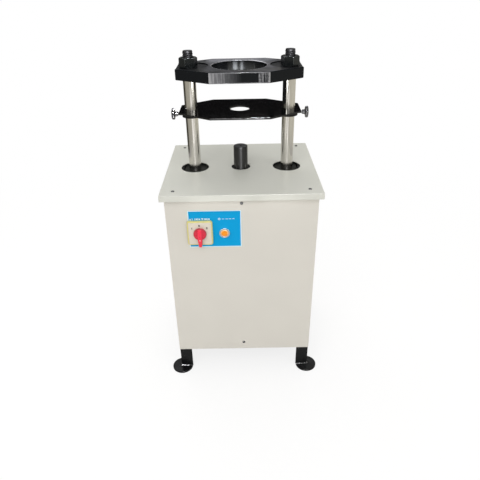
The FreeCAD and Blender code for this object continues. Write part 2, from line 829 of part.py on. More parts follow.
def octagon(drawing, length, depth, flat, end):
    """A plate outline whose middle is a flat and whose corners are cut back to short ends."""
    half_x = f"({length} / 2)"
    half_y = f"({depth} / 2)"
    corners = []
    for sign_x, sign_y, first in ((1, -1, "flat"), (1, 1, "end"), (-1, 1, "flat"), (-1, -1, "end")):
        on_flat = (f"{sign_x} * {flat} / 2", f"{sign_y} * {half_y}")
        on_end = (f"{sign_x} * {half_x}", f"{sign_y} * {end} / 2")
        corners.extend([on_flat, on_end] if first == "flat" else [on_end, on_flat])
    polygon(drawing, corners)


def column_holes(drawing, radius):
    for side in (-1, 1):
        circle(drawing, f"{side} * {COLUMN_X}", "0", radius)


def lower_crosshead():
    """Plate on the bearers that anchors the columns and hangs the cylinder."""
    plate = new_body("lower_crosshead", z=LOWER_UNDERSIDE)
    outline = sketch(plate)
    octagon(outline, "lower_crosshead_length", "lower_crosshead_depth", "bearer_bolt_span * 1.2",
            "crosshead_end")
    pad(plate, outline, "lower_crosshead_thick")
    dress(plate, "Chamfer", "crosshead_bevel", flat_at("lower_crosshead_thick"))
    holes = sketch(plate, "XY", "lower_crosshead_thick")
    circle(holes, "0", "0", "head_neck_radius + head_gap")
    column_holes(holes, "stud_radius + stud_gap")
    bolt_pattern(holes, "bearer_bolt_radius + stud_gap")
    pocket(plate, holes)
    threads = sketch(plate)
    flange_bolts(threads, "flange_bolt_radius")
    pocket(plate, threads, "lower_crosshead_thick / 2", back=True)


def upper_crosshead():
    """Bored plate on the column shoulders that stops the mould while the sample passes."""
    plate = new_body("upper_crosshead", z=UPPER_UNDERSIDE)
    outline = sketch(plate)
    octagon(outline, "crosshead_length", "crosshead_depth", "crosshead_flat", "crosshead_end")
    pad(plate, outline, "crosshead_thick")
    bore = sketch(plate, "XY", "crosshead_thick")
    circle(bore, "0", "0", "crosshead_bore")
    pocket(plate, bore)
    dress(plate, "Chamfer", "crosshead_bevel",
          lambda box: flat_at("0")(box) or flat_at("crosshead_thick")(box))
    studs = sketch(plate, "XY", "crosshead_thick")
    column_holes(studs, "stud_radius + stud_gap")
    pocket(plate, studs)
    seats = sketch(plate, "XY", "crosshead_thick")
    column_holes(seats, "spotface_radius")
    pocket(plate, seats, "spotface_depth")


def column(label, side):
    """Ground column between shoulders, with a threaded stud through each crosshead."""
    bar = new_body(label, x=f"{side} * {COLUMN_X}", z="lower_crosshead_top")
    profile = sketch(bar, "XZ")
    length = f"({UPPER_UNDERSIDE} - lower_crosshead_top)"
    stud_bottom = "(lower_crosshead_thick + nut_height + stud_end)"
    stud_top = f"({length} + crosshead_thick - spotface_depth + nut_height + stud_end)"
    polygon(profile, [
        ("0", f"-{stud_bottom}"),
        ("stud_radius - stud_chamfer", f"-{stud_bottom}"),
        ("stud_radius", f"-{stud_bottom} + stud_chamfer"),
        ("stud_radius", "0"),
        ("column_radius - column_chamfer", "0"),
        ("column_radius", "column_chamfer"),
        ("column_radius", f"{length} - column_chamfer"),
        ("column_radius - column_chamfer", f"{length}"),
        ("stud_radius", f"{length}"),
        ("stud_radius", f"{stud_top} - stud_chamfer"),
        ("stud_radius - stud_chamfer", f"{stud_top}"),
        ("0", f"{stud_top}"),
    ])
    spin(bar, profile)


def column_nuts(label, seat, tightened):
    """Hexagon nuts of both columns, each left where it came tight, in mirrored places."""
    nuts = new_body(label, z=seat)
    outline = sketch(nuts)
    for side in (-1, 1):
        hexagon(outline, "nut_flats", x=f"{side} * {COLUMN_X}", turn=f"({-side} * {tightened})")
    pad(nuts, outline, "nut_height")
    bores = sketch(nuts, "XY", "nut_height")
    column_holes(bores, "stud_radius + nut_gap")
    pocket(nuts, bores)
    for level, back in (("nut_height", False), ("0", True)):
        rim = sketch(nuts, "XY", level)
        column_holes(rim, "nut_flats")
        column_holes(rim, "nut_flats / 2 + nut_gap")
        cut = pocket(nuts, rim, "nut_flats / 2 * (1 / cos(30) - 1) / tan(nut_taper)", back=back)
        bind(cut, "TaperAngle", "nut_taper")


def crosshead_bolts():
    """Hexagon bolts from the crosshead down through the bearers, with a head at the top."""
    bolts = new_body("crosshead_bolts", z="lower_crosshead_top")
    across = "bearer_bolt_radius * 3"
    heads = sketch(bolts)
    shanks = sketch(bolts)
    nuts = sketch(bolts, "XY", "-lower_crosshead_thick - bearer_web")
    for side_x in (-1, 1):
        for side_y in (-1, 1):
            x = f"{side_x} * bearer_bolt_span / 2"
            y = f"{side_y} * (bearer_spacing / 2 + (bearer_web + bearer_flange) / 2)"
            hexagon(heads, across, x, y)
            circle(shanks, x, y, "bearer_bolt_radius")
            hexagon(nuts, across, x, y)
    pad(bolts, heads, "bearer_bolt_radius * 0.8")
    pad(bolts, shanks, "lower_crosshead_thick + bearer_web + bearer_bolt_radius * 2", back=True)
    pad(bolts, nuts, "bearer_bolt_radius * 1.6", back=True)


# ---------------------------------------------------------------- tray

def tray():
    """Plate that slides on the columns and carries the mould above the ram."""
    plate = new_body("tray", z="tray_top - tray_thick")
    outline = sketch(plate)
    octagon(outline, "tray_length", "tray_depth", "tray_flat", "tray_end")
    pad(plate, outline, "tray_thick")
    dress(plate, "Fillet", "tray_corner", edges_along("tray_thick"))
    holes = sketch(plate, "XY", "tray_thick")
    circle(holes, "0", "0", "tray_bore")
    column_holes(holes, "column_radius + stud_gap")
    pocket(plate, holes)


def collars():
    """Guide rings welded under the tray, each with a threaded hole for its clamp screw."""
    rings = new_body("collars", z="tray_top - tray_thick - collar_height")
    outline = sketch(rings)
    column_holes(outline, "collar_radius")
    column_holes(outline, "column_radius + slide_gap")
    pad(rings, outline, "collar_height")
    for side in (-1, 1):
        hole = sketch(rings, "YZ", f"{side} * ({COLUMN_X} + collar_radius + {OVERRUN})")
        circle(hole, "0", "collar_height - clamp_drop", "clamp_radius + clamp_gap")
        pocket(rings, hole, f"collar_radius - column_radius / 2 + {OVERRUN}", back=side < 0)


def clamp_tip(label, side):
    """Brass pad that the clamp screw presses against its column."""
    start = f"(column_radius + clamp_tip_gap)"
    tip = new_body(label, x=f"{side} * ({COLUMN_X} + {start})", z=CLAMP_Z)
    outline = sketch(tip, "YZ")
    circle(outline, "0", "0", "clamp_tip_radius")
    pad(tip, outline, "clamp_tip_length", back=side < 0)


def clamp_stud(label, side):
    """Clamp screw from the brass pad through the collar into the knob."""
    start = "(column_radius + clamp_tip_gap + clamp_tip_length)"
    stud = new_body(label, x=f"{side} * ({COLUMN_X} + {start})", z=CLAMP_Z)
    outline = sketch(stud, "YZ")
    circle(outline, "0", "0", "clamp_radius")
    pad(stud, outline, f"collar_radius + knob_standoff + knob_thick - {start}", back=side < 0)
    return stud


def clamp_knob(label, side):
    """Star knob on the clamp screw, with a short boss towards the collar."""
    knob = new_body(label, x=f"{side} * ({COLUMN_X} + collar_radius + knob_standoff)", z=CLAMP_Z)
    back = side < 0
    outline = sketch(knob, "YZ")
    circle(outline, "0", "0", "knob_radius")
    pad(knob, outline, "knob_thick", back=back)
    outer = f"{side} * knob_thick"
    dress(knob, "Chamfer", "knob_edge", flat_at(outer, "X"))
    boss = sketch(knob, "YZ")
    circle(boss, "0", "0", "knob_boss_radius")
    pad(knob, boss, "knob_boss_length", back=not back)
    scallop = sketch(knob, "YZ")
    circle(scallop, "0", "knob_radius + knob_scallop * 0.4", "knob_scallop")
    notch = pocket(knob, scallop, "knob_thick", back=side > 0)
    polar(knob, notch, "X", "knob_lobes")
    bore = sketch(knob, "YZ", outer)
    circle(bore, "0", "0", "clamp_radius")
    pocket(knob, bore, back=back)


# ---------------------------------------------------------------- cylinder and ram

def flange_bolts(drawing, radius):
    """Circles at the four bolts of the cylinder's flange."""
    for angle in (45, 135, 225, 315):
        circle(drawing, f"flange_bolt_circle * cos({angle})", f"flange_bolt_circle * sin({angle})", radius)


def cylinder_head():
    """Flanged gland: neck in the crosshead, body below it and a spigot in the barrel."""
    head = new_body("cylinder_head", z=HEAD_FLANGE_BOTTOM)
    rod = "(ram_radius + ram_gap)"
    profile = sketch(head, "XZ")
    top = "(head_flange_thick + lower_crosshead_thick)"
    polygon(profile, [
        (rod, "-head_body_length - head_spigot"),
        ("barrel_bore", "-head_body_length - head_spigot"),
        ("barrel_bore", "-head_body_length"),
        ("head_body_radius", "-head_body_length"),
        ("head_body_radius", "0"),
        ("head_flange_radius", "0"),
        ("head_flange_radius", "head_flange_thick"),
        ("head_neck_radius", "head_flange_thick"),
        ("head_neck_radius", top),
        (rod, top),
    ])
    spin(head, profile)
    holes = sketch(head, "XY", "head_flange_thick")
    flange_bolts(holes, "flange_bolt_radius + screw_gap")
    pocket(head, holes, "head_flange_thick")


def cylinder_bolts():
    """Cap screws up through the cylinder's flange into the crosshead."""
    bolts = new_body("cylinder_bolts", z=HEAD_FLANGE_BOTTOM)
    shanks = sketch(bolts)
    flange_bolts(shanks, "flange_bolt_radius")
    pad(bolts, shanks, "head_flange_thick + lower_crosshead_thick / 2")
    heads = sketch(bolts)
    flange_bolts(heads, "flange_bolt_radius * 1.5")
    pad(bolts, heads, "flange_bolt_radius * 2", back=True)


def cylinder_barrel():
    barrel = new_body("cylinder_barrel", z=BARREL_BOTTOM)
    outline = sketch(barrel)
    circle(outline, "0", "0", "barrel_radius")
    circle(outline, "0", "0", "barrel_bore")
    pad(barrel, outline, f"{BARREL_TOP} - {BARREL_BOTTOM}")


def cylinder_cap():
    """Blind end of the cylinder, with a boss for the lift pipe."""
    cap = new_body("cylinder_cap", z=CAP_BOTTOM)
    profile = sketch(cap, "XZ")
    polygon(profile, [
        ("0", "0"), ("cap_radius", "0"), ("cap_radius", "cap_thick"), ("barrel_bore", "cap_thick"),
        ("barrel_bore", "cap_thick + cap_spigot"), ("0", "cap_thick + cap_spigot"),
    ])
    spin(cap, profile)
    dress(cap, "Chamfer", "cap_thick / 10", flat_at("0"))


def rod_wiper():
    """Rubber ring on the gland that strips the ram."""
    wiper = new_body("rod_wiper", z="lower_crosshead_top")
    profile = sketch(wiper, "XZ")
    inner = "(ram_radius + ram_gap)"
    polygon(profile, [
        (inner, "0"), ("wiper_radius", "0"), ("wiper_radius", "wiper_height / 2"), (inner, "wiper_height"),
    ])
    spin(wiper, profile)


def ram():
    """Blackened ram, flat on top with a rounded edge."""
    rod = new_body("ram", z=PISTON_BOTTOM)
    outline = sketch(rod)
    circle(outline, "0", "0", "ram_radius")
    length = f"ram_top - {PISTON_BOTTOM}"
    pad(rod, outline, length)
    dress(rod, "Fillet", "ram_edge", flat_at(length))


def piston():
    """Piston shrunk onto the ram's foot, with two seal grooves."""
    ring = new_body("piston", z=PISTON_BOTTOM)
    outer = "(barrel_bore - piston_gap)"
    profile = sketch(ring, "XZ")
    rectangle(profile, "ram_radius", outer, "0", "piston_length")
    spin(ring, profile)
    grooves = sketch(ring, "XZ")
    for share in (1, 2):
        low = f"(piston_length * {share} / 3 - piston_groove / 2)"
        rectangle(grooves, f"{outer} - piston_groove / 2", f"{outer} + {OVERRUN}", low, f"{low} + piston_groove")
    turn_off(ring, grooves)


# ---------------------------------------------------------------- motor and pump

def motor_body():
    """Finned motor frame on its foot, bored for the shaft."""
    motor = new_body("motor_body", x=MOTOR_X, y=PACK_Y, z=SHAFT_Z)
    profile = sketch(motor, "XZ")
    bore = "(shaft_radius + shaft_gap)"
    polygon(profile, [
        ("0", bore), ("0", "motor_radius"), ("motor_length - motor_shoulder", "motor_radius"),
        ("motor_length", "motor_radius - motor_step"), ("motor_length", bore),
    ])
    spin(motor, profile, "H_Axis")
    fin = sketch(motor, "YZ", "fin_inset")
    rectangle(fin, "-fin_thick / 2", "fin_thick / 2", "motor_radius - fin_root", "motor_radius + fin_height")
    ribs = pad(motor, fin, "motor_length - motor_shoulder - 2 * fin_inset")
    polar(motor, ribs, "X", "fin_count")
    foot = sketch(motor, "XY", "-shaft_height")
    start = "(motor_length - motor_foot_length) / 2"
    rectangle(foot, start, f"{start} + motor_foot_length", "-motor_foot_width / 2", "motor_foot_width / 2")
    pad(motor, foot, "motor_foot_thick")
    stem = sketch(motor, "XY", "-shaft_height")
    rectangle(stem, start, f"{start} + motor_foot_length", "-motor_foot_width / 4", "motor_foot_width / 4")
    pad(motor, stem, "shaft_height - motor_radius + motor_foot_root")


def fan_cover():
    """Pressed cowl over the fan, with slots round its end."""
    cover = new_body("fan_cover", x=MOTOR_X, y=PACK_Y, z=SHAFT_Z)
    profile = sketch(cover, "XZ")
    inner = "(motor_radius + fin_height + fan_cover_gap)"
    outer = f"({inner} + fan_cover_sheet)"
    end = "fan_cover_length"
    polygon(profile, [
        ("fan_cover_lap", inner), ("fan_cover_lap", outer), (f"-{end} + fan_cover_bevel", outer),
        (f"-{end}", f"{outer} - fan_cover_step"), (f"-{end}", "0"), (f"-{end} + fan_cover_sheet", "0"),
        (f"-{end} + fan_cover_sheet", f"{inner} - fan_cover_step"),
        (f"-{end} + fan_cover_bevel + fan_cover_sheet", inner),
    ])
    spin(cover, profile, "H_Axis")
    slot = sketch(cover, "YZ", f"-{end}")
    rectangle(slot, "-fan_slot / 2", "fan_slot / 2", "fan_radius * 0.45", "fan_radius")
    opening = pocket(cover, slot, "fan_cover_sheet * 2", back=True)
    polar(cover, opening, "X", "fan_slots")


def motor_shaft():
    """Shaft through the motor, from the fan to the coupling."""
    shaft = new_body("motor_shaft", x=MOTOR_X, y=PACK_Y, z=SHAFT_Z)
    outline = sketch(shaft, "YZ", "-fan_cover_length / 2 - fan_width / 2")
    circle(outline, "0", "0", "shaft_radius")
    pad(shaft, outline, "motor_length + fan_cover_length / 2 + fan_width / 2 + coupling_length * 0.8")


def motor_fan():
    fan = new_body("motor_fan", x=f"{MOTOR_X} - fan_cover_length / 2 - fan_width / 2", y=PACK_Y, z=SHAFT_Z)
    hub = sketch(fan, "YZ")
    circle(hub, "0", "0", "shaft_radius * 1.7")
    circle(hub, "0", "0", "shaft_radius")
    pad(fan, hub, "fan_width")
    blade = sketch(fan, "YZ")
    rectangle(blade, "-fan_blade_thick / 2", "fan_blade_thick / 2", "shaft_radius * 1.5", "fan_radius")
    vane = pad(fan, blade, "fan_width")
    polar(fan, vane, "X", "fan_blades")


def terminal_box():
    """Cast box with a flat cover on top of the motor."""
    box = new_body("terminal_box", x=f"{MOTOR_X} + motor_length / 2", y=PACK_Y,
                   z=f"{SHAFT_Z} + motor_radius + fin_height")
    outline = sketch(box)
    half_x = "(terminal_width / 2)"
    half_y = "(terminal_depth / 2)"
    rectangle(outline, f"-{half_x}", half_x, f"-{half_y}", half_y)
    pad(box, outline, "terminal_height")
    dress(box, "Fillet", "terminal_height / 8", edges_along("terminal_height"))
    groove = sketch(box, "XY", "terminal_height * 0.72")
    seam_ring(groove, f"-{half_x}", half_x, f"-{half_y}", half_y)
    pocket(box, groove, "seam_width")


def pump_coupling():
    """Jaw coupling on the motor's shaft, with the stub that drives the pump."""
    hub = new_body("pump_coupling", x=f"{BELL_X} + coupling_gap", y=PACK_Y, z=SHAFT_Z)
    outline = sketch(hub, "YZ")
    circle(outline, "0", "0", "coupling_radius")
    pad(hub, outline, "coupling_length")
    seat = sketch(hub, "YZ")
    circle(seat, "0", "0", "shaft_radius")
    pocket(hub, seat, "coupling_length * 0.8 - coupling_gap", back=True)
    jaw = sketch(hub, "YZ", "coupling_length / 2 - jaw_gap / 2")
    rectangle(jaw, "-jaw_width / 2", "jaw_width / 2", "coupling_radius - jaw_depth",
              f"coupling_radius + {OVERRUN}")
    notch = pocket(hub, jaw, "jaw_gap", back=True)
    polar(hub, notch, "X", "6")
    stub = sketch(hub, "YZ", "coupling_length")
    circle(stub, "0", "0", "shaft_radius * 0.7")
    pad(hub, stub, "bell_length + pump_stub - coupling_length")


def bell_housing():
    """Cast spacer between motor and pump, with two windows onto the coupling."""
    bell = new_body("bell_housing", x=BELL_X, y=PACK_Y, z=SHAFT_Z)
    profile = sketch(bell, "XZ")
    end = "bell_length"
    polygon(profile, [
        ("0", "bell_radius - 2 * bell_wall"), ("0", "bell_radius"), ("bell_wall", "bell_radius"),
        ("bell_wall", "bell_radius - bell_wall"), (f"{end} - bell_wall", "coupling_radius + bell_neck"),
        (f"{end} - bell_wall", "coupling_radius + bell_neck + bell_wall"),
        (end, "coupling_radius + bell_neck + bell_wall"),
        (end, "shaft_radius"), (f"{end} - bell_wall", "shaft_radius"),
        (f"{end} - bell_wall", "coupling_radius + bell_neck - bell_wall"),
    ])
    spin(bell, profile, "H_Axis")
    window = sketch(bell, "XY")
    rectangle(window, "bell_length * 0.35", "bell_length * 0.75", "-bell_window / 2", "bell_window / 2")
    pocket(bell, window, f"bell_radius + {OVERRUN}", back=True)


def gear_pump():
    """Gear pump: two end covers and a middle section, with a port at the top and one at the front."""
    pump = new_body("gear_pump", x=PUMP_X, y=PACK_Y, z=SHAFT_Z)
    bore = "(shaft_radius * 0.7 + shaft_gap)"
    straight = "(pump_height / 2 - pump_width / 2)"
    flange = sketch(pump, "YZ")
    rectangle(flange, "-pump_width / 2", "pump_width / 2", "-pump_height / 2", "pump_height / 2")
    pad(pump, flange, "pump_length")
    dress(pump, "Fillet", "pump_width / 4", edges_along("pump_length", "X"))
    for share in (0.22, 0.74):
        seam = sketch(pump, "YZ", f"pump_length * {share}")
        seam_ring(seam, "-pump_width / 2", "pump_width / 2", "-pump_height / 2", "pump_height / 2")
        pocket(pump, seam, "seam_width", back=True)
    drive = sketch(pump, "YZ")
    circle(drive, "0", "0", bore)
    pocket(pump, drive, "pump_stub + pump_stub_room + coupling_gap", back=True)
    top = sketch(pump, "XY", "pump_height / 2")
    circle(top, "pump_length / 2", "0", "pump_port_radius")
    pad(pump, top, "pump_port_height")
    front = sketch(pump, "XZ", "pump_width / 2")
    circle(front, "pump_length / 2", "0", "pump_port_radius")
    pad(pump, front, "pump_port_height")


# ---------------------------------------------------------------- oil circuit

def oil_tank():
    """Open sheet tank on the shelf."""
    tank = new_body("oil_tank", x=TANK_LEFT, y=TANK_FRONT, z=SHELF_TOP)
    outline = sketch(tank)
    rectangle(outline, "0", "tank_width", "0", "tank_depth")
    pad(tank, outline, "tank_height")
    dress(tank, "Fillet", "tank_sheet * 4", edges_along("tank_height"))
    inside = sketch(tank, "XY", "tank_height")
    rectangle(inside, "tank_sheet", "tank_width - tank_sheet", "tank_sheet", "tank_depth - tank_sheet")
    pocket(tank, inside, "tank_height - tank_sheet")


def tank_lid():
    cover = new_body("tank_lid", x=TANK_LEFT, y=TANK_FRONT, z=TANK_TOP)
    outline = sketch(cover)
    rectangle(outline, "-tank_sheet", "tank_width + tank_sheet", "-tank_sheet", "tank_depth + tank_sheet")
    pad(cover, outline, "tank_lid_thick")


def tank_breather():
    """Filler and breather cap with a knurled rim."""
    cap = new_body("tank_breather", x=f"{TANK_LEFT} + tank_width - 1.6 * breather_radius",
                   y=BLOCK_Y, z=BLOCK_BOTTOM)
    profile = sketch(cap, "XZ")
    polygon(profile, [
        ("0", "0"), ("breather_radius * 0.7", "0"), ("breather_radius * 0.7", "breather_height * 0.3"),
        ("breather_radius", "breather_height * 0.4"), ("breather_radius", "breather_height * 0.85"),
        ("breather_radius * 0.85", "breather_height"), ("0", "breather_height"),
    ])
    spin(cap, profile)


def valve_block():
    """Drilled block on the tank that joins the pipes."""
    block = new_body("valve_block", x=BLOCK_LEFT, y=BLOCK_Y, z=BLOCK_BOTTOM)
    outline = sketch(block)
    rectangle(outline, "0", "block_width", "-block_depth / 2", "block_depth / 2")
    pad(block, outline, "block_height")
    dress(block, "Chamfer", "block_height / 30", flat_at("block_height"))


def solenoid_valve():
    """Directional valve on the block, with a coil at either end."""
    valve = new_body("solenoid_valve", x=f"{BLOCK_LEFT} + block_width / 2", y=BLOCK_Y,
                     z=f"{BLOCK_BOTTOM} + block_height")
    core = sketch(valve)
    rectangle(core, "-valve_width / 2", "valve_width / 2", "-valve_width / 2", "valve_width / 2")
    pad(valve, core, "valve_height")
    coils = sketch(valve, "YZ", "-valve_width / 2 - coil_length")
    circle(coils, "0", "valve_height / 2", "coil_radius")
    pad(valve, coils, "valve_width + 2 * coil_length")


def bent_tube(label_points, radius, bend):
    """Solid of a round tube along straight runs that tangent arcs join."""
    points = [FreeCAD.Vector(*[value(term) for term in point]) for point in label_points]
    edges = []
    start = points[0]
    for before, corner, after in zip(points, points[1:], points[2:]):
        to_corner = (corner - before).normalize()
        from_corner = (after - corner).normalize()
        turn = to_corner.getAngle(from_corner)
        setback = bend * math.tan(turn / 2)
        arc_start = corner - to_corner * setback
        arc_end = corner + from_corner * setback
        inward = (from_corner - to_corner).normalize()
        arc_middle = corner + inward * (bend / math.cos(turn / 2) - bend)
        edges.append(Part.LineSegment(start, arc_start).toShape())
        edges.append(Part.Arc(arc_start, arc_middle, arc_end).toShape())
        start = arc_end
    edges.append(Part.LineSegment(start, points[-1]).toShape())
    path = Part.Wire(edges)
    heading = (points[1] - points[0]).normalize()
    section = Part.Wire([Part.Circle(points[0], heading, radius).toShape()])
    return path.makePipeShell([section], True, False)


def hydraulic_pipes():
    """Steel pipes between pump, valve block and cylinder, and the suction hose of the pump."""
    radius = value("pipe_radius")
    bend = value("pipe_bend")
    nut = "fitting_length"
    block_back = f"({BLOCK_Y} + block_depth / 2)"
    pump_top = f"({SHAFT_Z} + pump_height / 2 + pump_port_height)"
    pump_front = f"({PACK_Y} - pump_width / 2 - pump_port_height)"
    port_x = f"({PUMP_X} + pump_length / 2)"
    low = f"({BLOCK_BOTTOM} + block_height * 0.3)"
    high = f"({BLOCK_BOTTOM} + block_height * 0.8)"
    cap_z = f"({CAP_BOTTOM} + cap_thick / 2)"
    head_z = f"({HEAD_FLANGE_BOTTOM} - head_body_length / 2)"
    rise_x = f"(head_body_radius + {nut} + pipe_bend * 1.3)"
    clear_x = "(-cap_radius - pipe_bend * 1.6)"
    pressure = [(port_x, PACK_Y, f"{pump_top} + {nut}"), (port_x, PACK_Y, low),
                (port_x, f"{block_back} + {nut}", low)]
    lift = [(f"{BLOCK_LEFT} - {nut}", BLOCK_Y, low), (clear_x, BLOCK_Y, low), (clear_x, "0", cap_z),
            (f"-cap_radius - {nut}", "0", cap_z)]
    lower = [(rise_x, f"{block_back} + {nut}", high), (rise_x, "0", high), (rise_x, "0", head_z),
             (f"head_body_radius + {nut}", "0", head_z)]
    suction = [(port_x, f"{TANK_FRONT} + tank_depth", SHAFT_Z), (port_x, pump_front, SHAFT_Z)]
    tubes = [bent_tube(route, radius, bend) for route in (pressure, lift, lower)]
    tubes.append(bent_tube(suction, value("hose_radius"), bend))
    pipes = doc.addObject("Part::Feature", "hydraulic_pipes")
    pipes.Label = "hydraulic_pipes"
    pipes.Shape = Part.makeCompound(tubes)
    place(pipes)
    nodes.append(pipes)
    return pressure, lift, lower


def pipe_fittings(routes):
    """Union nuts at both ends of each steel pipe."""
    fittings = []
    length = value("fitting_length")
    radius = value("fitting_flats") / 2 / math.cos(math.pi / 6)
    for route in routes:
        points = [FreeCAD.Vector(*[value(term) for term in point]) for point in route]
        for end, inner in ((points[0], points[1]), (points[-1], points[-2])):
            outward = (end - inner).normalize()
            hexagon_face = Part.makePolygon(hexagon_points(end, outward, radius))
            fittings.append(Part.Face(hexagon_face).extrude(outward * length))
    group = doc.addObject("Part::Feature", "pipe_fittings")
    group.Label = "pipe_fittings"
    group.Shape = Part.makeCompound(fittings)
    place(group)
    nodes.append(group)


def hexagon_points(centre, normal, radius):
    """Corners of a closed hexagon about a point, square to a direction."""
    helper = FreeCAD.Vector(0, 0, 1) if abs(normal.z) < 0.9 else FreeCAD.Vector(1, 0, 0)
    across = normal.cross(helper).normalize()
    upward = across.cross(normal)
    corners = []
    for step in range(7):
        angle = math.radians(60 * (step % 6))
        corners.append(centre + across * radius * math.cos(angle) + upward * radius * math.sin(angle))
    return corners


# ---------------------------------------------------------------- wiring and controls

def electrical_box():
    """Contactor box on the left panel, with its lid towards the middle."""
    box = new_body("electrical_box", x=f"-{FRAME_X}", y=BOX_FRONT, z="box_bottom")
    outline = sketch(box, "YZ")
    rectangle(outline, "0", "box_depth", "0", "box_height")
    pad(box, outline, "box_width")
    dress(box, "Fillet", "box_wall * 2", edges_along("box_width", "X"))
    seam = sketch(box, "YZ", "box_width - box_lid")
    seam_ring(seam, "0", "box_depth", "0", "box_height")
    pocket(box, seam, "seam_width", back=True)
    inside = sketch(box, "YZ", "box_wall")
    rectangle(inside, "box_wall", "box_depth - box_wall", "box_wall", "box_height - box_wall")
    pocket(box, inside, "box_width - 2 * box_wall", back=True)


def control_plate():
    """Sheet plate behind the switch and the lamp."""
    plate = new_body("control_plate", y=PANEL_FRONT)
    outline = sketch(plate, "XZ")
    rectangle(outline, PLATE_LEFT, f"{PLATE_LEFT} + plate_width", PLATE_BOTTOM, f"{PLATE_BOTTOM} + plate_height")
    circle(outline, SWITCH_X, SWITCH_Z, "handle_shaft + handle_shaft_gap")
    circle(outline, LAMP_X, LAMP_Z, "lamp_body_radius + lamp_gap")
    pad(plate, outline, "plate_thick")


def switch_bezel():
    """Moulded square frame of the rotary switch, recessed for its face plate."""
    bezel = new_body("switch_bezel", x=SWITCH_X, y=PLATE_FRONT, z=SWITCH_Z)
    half_x = "(bezel_width / 2)"
    half_z = "(bezel_height / 2)"
    outline = sketch(bezel, "XZ")
    rectangle(outline, f"-{half_x}", half_x, f"-{half_z}", half_z)
    pad(bezel, outline, "bezel_thick")
    dress(bezel, "Fillet", "bezel_corner", edges_along("bezel_thick", "Y"))
    dress(bezel, "Fillet", "bezel_corner / 3", flat_at("-bezel_thick", "Y"))
    recess = sketch(bezel, "XZ", "bezel_thick")
    rectangle(recess, f"-{half_x} + bezel_rim", f"{half_x} - bezel_rim", f"-{half_z} + bezel_rim",
              f"{half_z} - bezel_rim")
    pocket(bezel, recess, "face_thick")
    bore = sketch(bezel, "XZ", "bezel_thick")
    circle(bore, "0", "0", "handle_shaft + handle_shaft_gap")
    pocket(bezel, bore)


def switch_face():
    """Metal face plate in the bezel."""
    face = new_body("switch_face", x=SWITCH_X, y=f"{PLATE_FRONT} - bezel_thick + face_thick",
                    z=SWITCH_Z)
    half_x = "(bezel_width / 2 - bezel_rim - face_gap)"
    half_z = "(bezel_height / 2 - bezel_rim - face_gap)"
    outline = sketch(face, "XZ")
    rectangle(outline, f"-{half_x}", half_x, f"-{half_z}", half_z)
    circle(outline, "0", "0", "handle_shaft + handle_shaft_gap")
    pad(face, outline, "face_thick")


def switch_body():
    """Contact stack behind the panel."""
    stack = new_body("switch_body", x=SWITCH_X, y=f"{PANEL_FRONT} + panel_sheet", z=SWITCH_Z)
    outline = sketch(stack, "XZ")
    half = "(switch_body / 2)"
    rectangle(outline, f"-{half}", half, f"-{half}", half)
    pad(stack, outline, "switch_body_length", back=True)
    for share in (0.25, 0.5, 0.75):
        seam = sketch(stack, "XZ", f"-switch_body_length * {share}")
        seam_ring(seam, f"-{half}", half, f"-{half}", half)
        pocket(stack, seam, "seam_width")
    bore = sketch(stack, "XZ")
    circle(bore, "0", "0", "handle_shaft + handle_shaft_gap")
    pocket(stack, bore, "switch_body_length * 0.6")


def switch_handle():
    """Round knob with a tapered lever, on the shaft that goes into the contact stack."""
    handle = new_body("switch_handle", x=SWITCH_X, y=f"{PLATE_FRONT} - bezel_thick - handle_gap",
                      z=SWITCH_Z)
    base = sketch(handle, "XZ")
    circle(base, "0", "0", "handle_radius")
    pad(handle, base, "handle_base")
    lever = sketch(handle, "XZ")
    polygon(lever, [
        ("-handle_root / 2", "handle_radius - lever_inset"),
        ("-handle_root / 2", "-handle_radius / 2"),
        ("-handle_tip / 2", "-handle_lever"),
        ("handle_tip / 2", "-handle_lever"),
        ("handle_root / 2", "-handle_radius / 2"),
        ("handle_root / 2", "handle_radius - lever_inset"),
    ])
    pad(handle, lever, "handle_height")
    dress(handle, "Fillet", "handle_tip / 4", flat_at("-handle_height", "Y"))
    shaft = sketch(handle, "XZ")
    circle(shaft, "0", "0", "handle_shaft")
    reach = "handle_gap + bezel_thick + plate_thick + panel_sheet + switch_body_length / 2"
    pad(handle, shaft, reach, back=True)


def lamp_bezel():
    """Polished ring of the pilot lamp."""
    ring = new_body("lamp_bezel", x=LAMP_X, y=PLATE_FRONT, z=LAMP_Z, axis=(1, 0, 0), angle=90)
    profile = sketch(ring, "XZ")
    inner = "(lamp_lens_radius + lamp_gap)"
    polygon(profile, [
        (inner, "0"), ("lamp_bezel_radius", "0"), ("lamp_bezel_radius", "lamp_bezel_thick * 0.5"),
        ("lamp_bezel_radius - 2", "lamp_bezel_thick"), (inner, "lamp_bezel_thick"),
    ])
    spin(ring, profile)


def lamp_lens():
    """Domed lens of the pilot lamp."""
    lens = new_body("lamp_lens", x=LAMP_X, y=PLATE_FRONT, z=LAMP_Z, axis=(1, 0, 0), angle=90)
    outline = sketch(lens)
    circle(outline, "0", "0", "lamp_lens_radius")
    pad(lens, outline, "lamp_lens_height")
    dress(lens, "Fillet", "lamp_lens_radius / 4", flat_at("lamp_lens_height"))


def lamp_body():
    """Lamp socket through the panel, with its ring nut."""
    socket = new_body("lamp_body", x=LAMP_X, y=PLATE_FRONT, z=LAMP_Z, axis=(1, 0, 0), angle=90)
    stem = sketch(socket)
    circle(stem, "0", "0", "lamp_body_radius")
    pad(socket, stem, "lamp_body_length", back=True)
    nut = sketch(socket, "XY", "-plate_thick - panel_sheet")
    circle(nut, "0", "0", "lamp_bezel_radius")
    pad(socket, nut, "lamp_bezel_thick * 0.6", back=True)


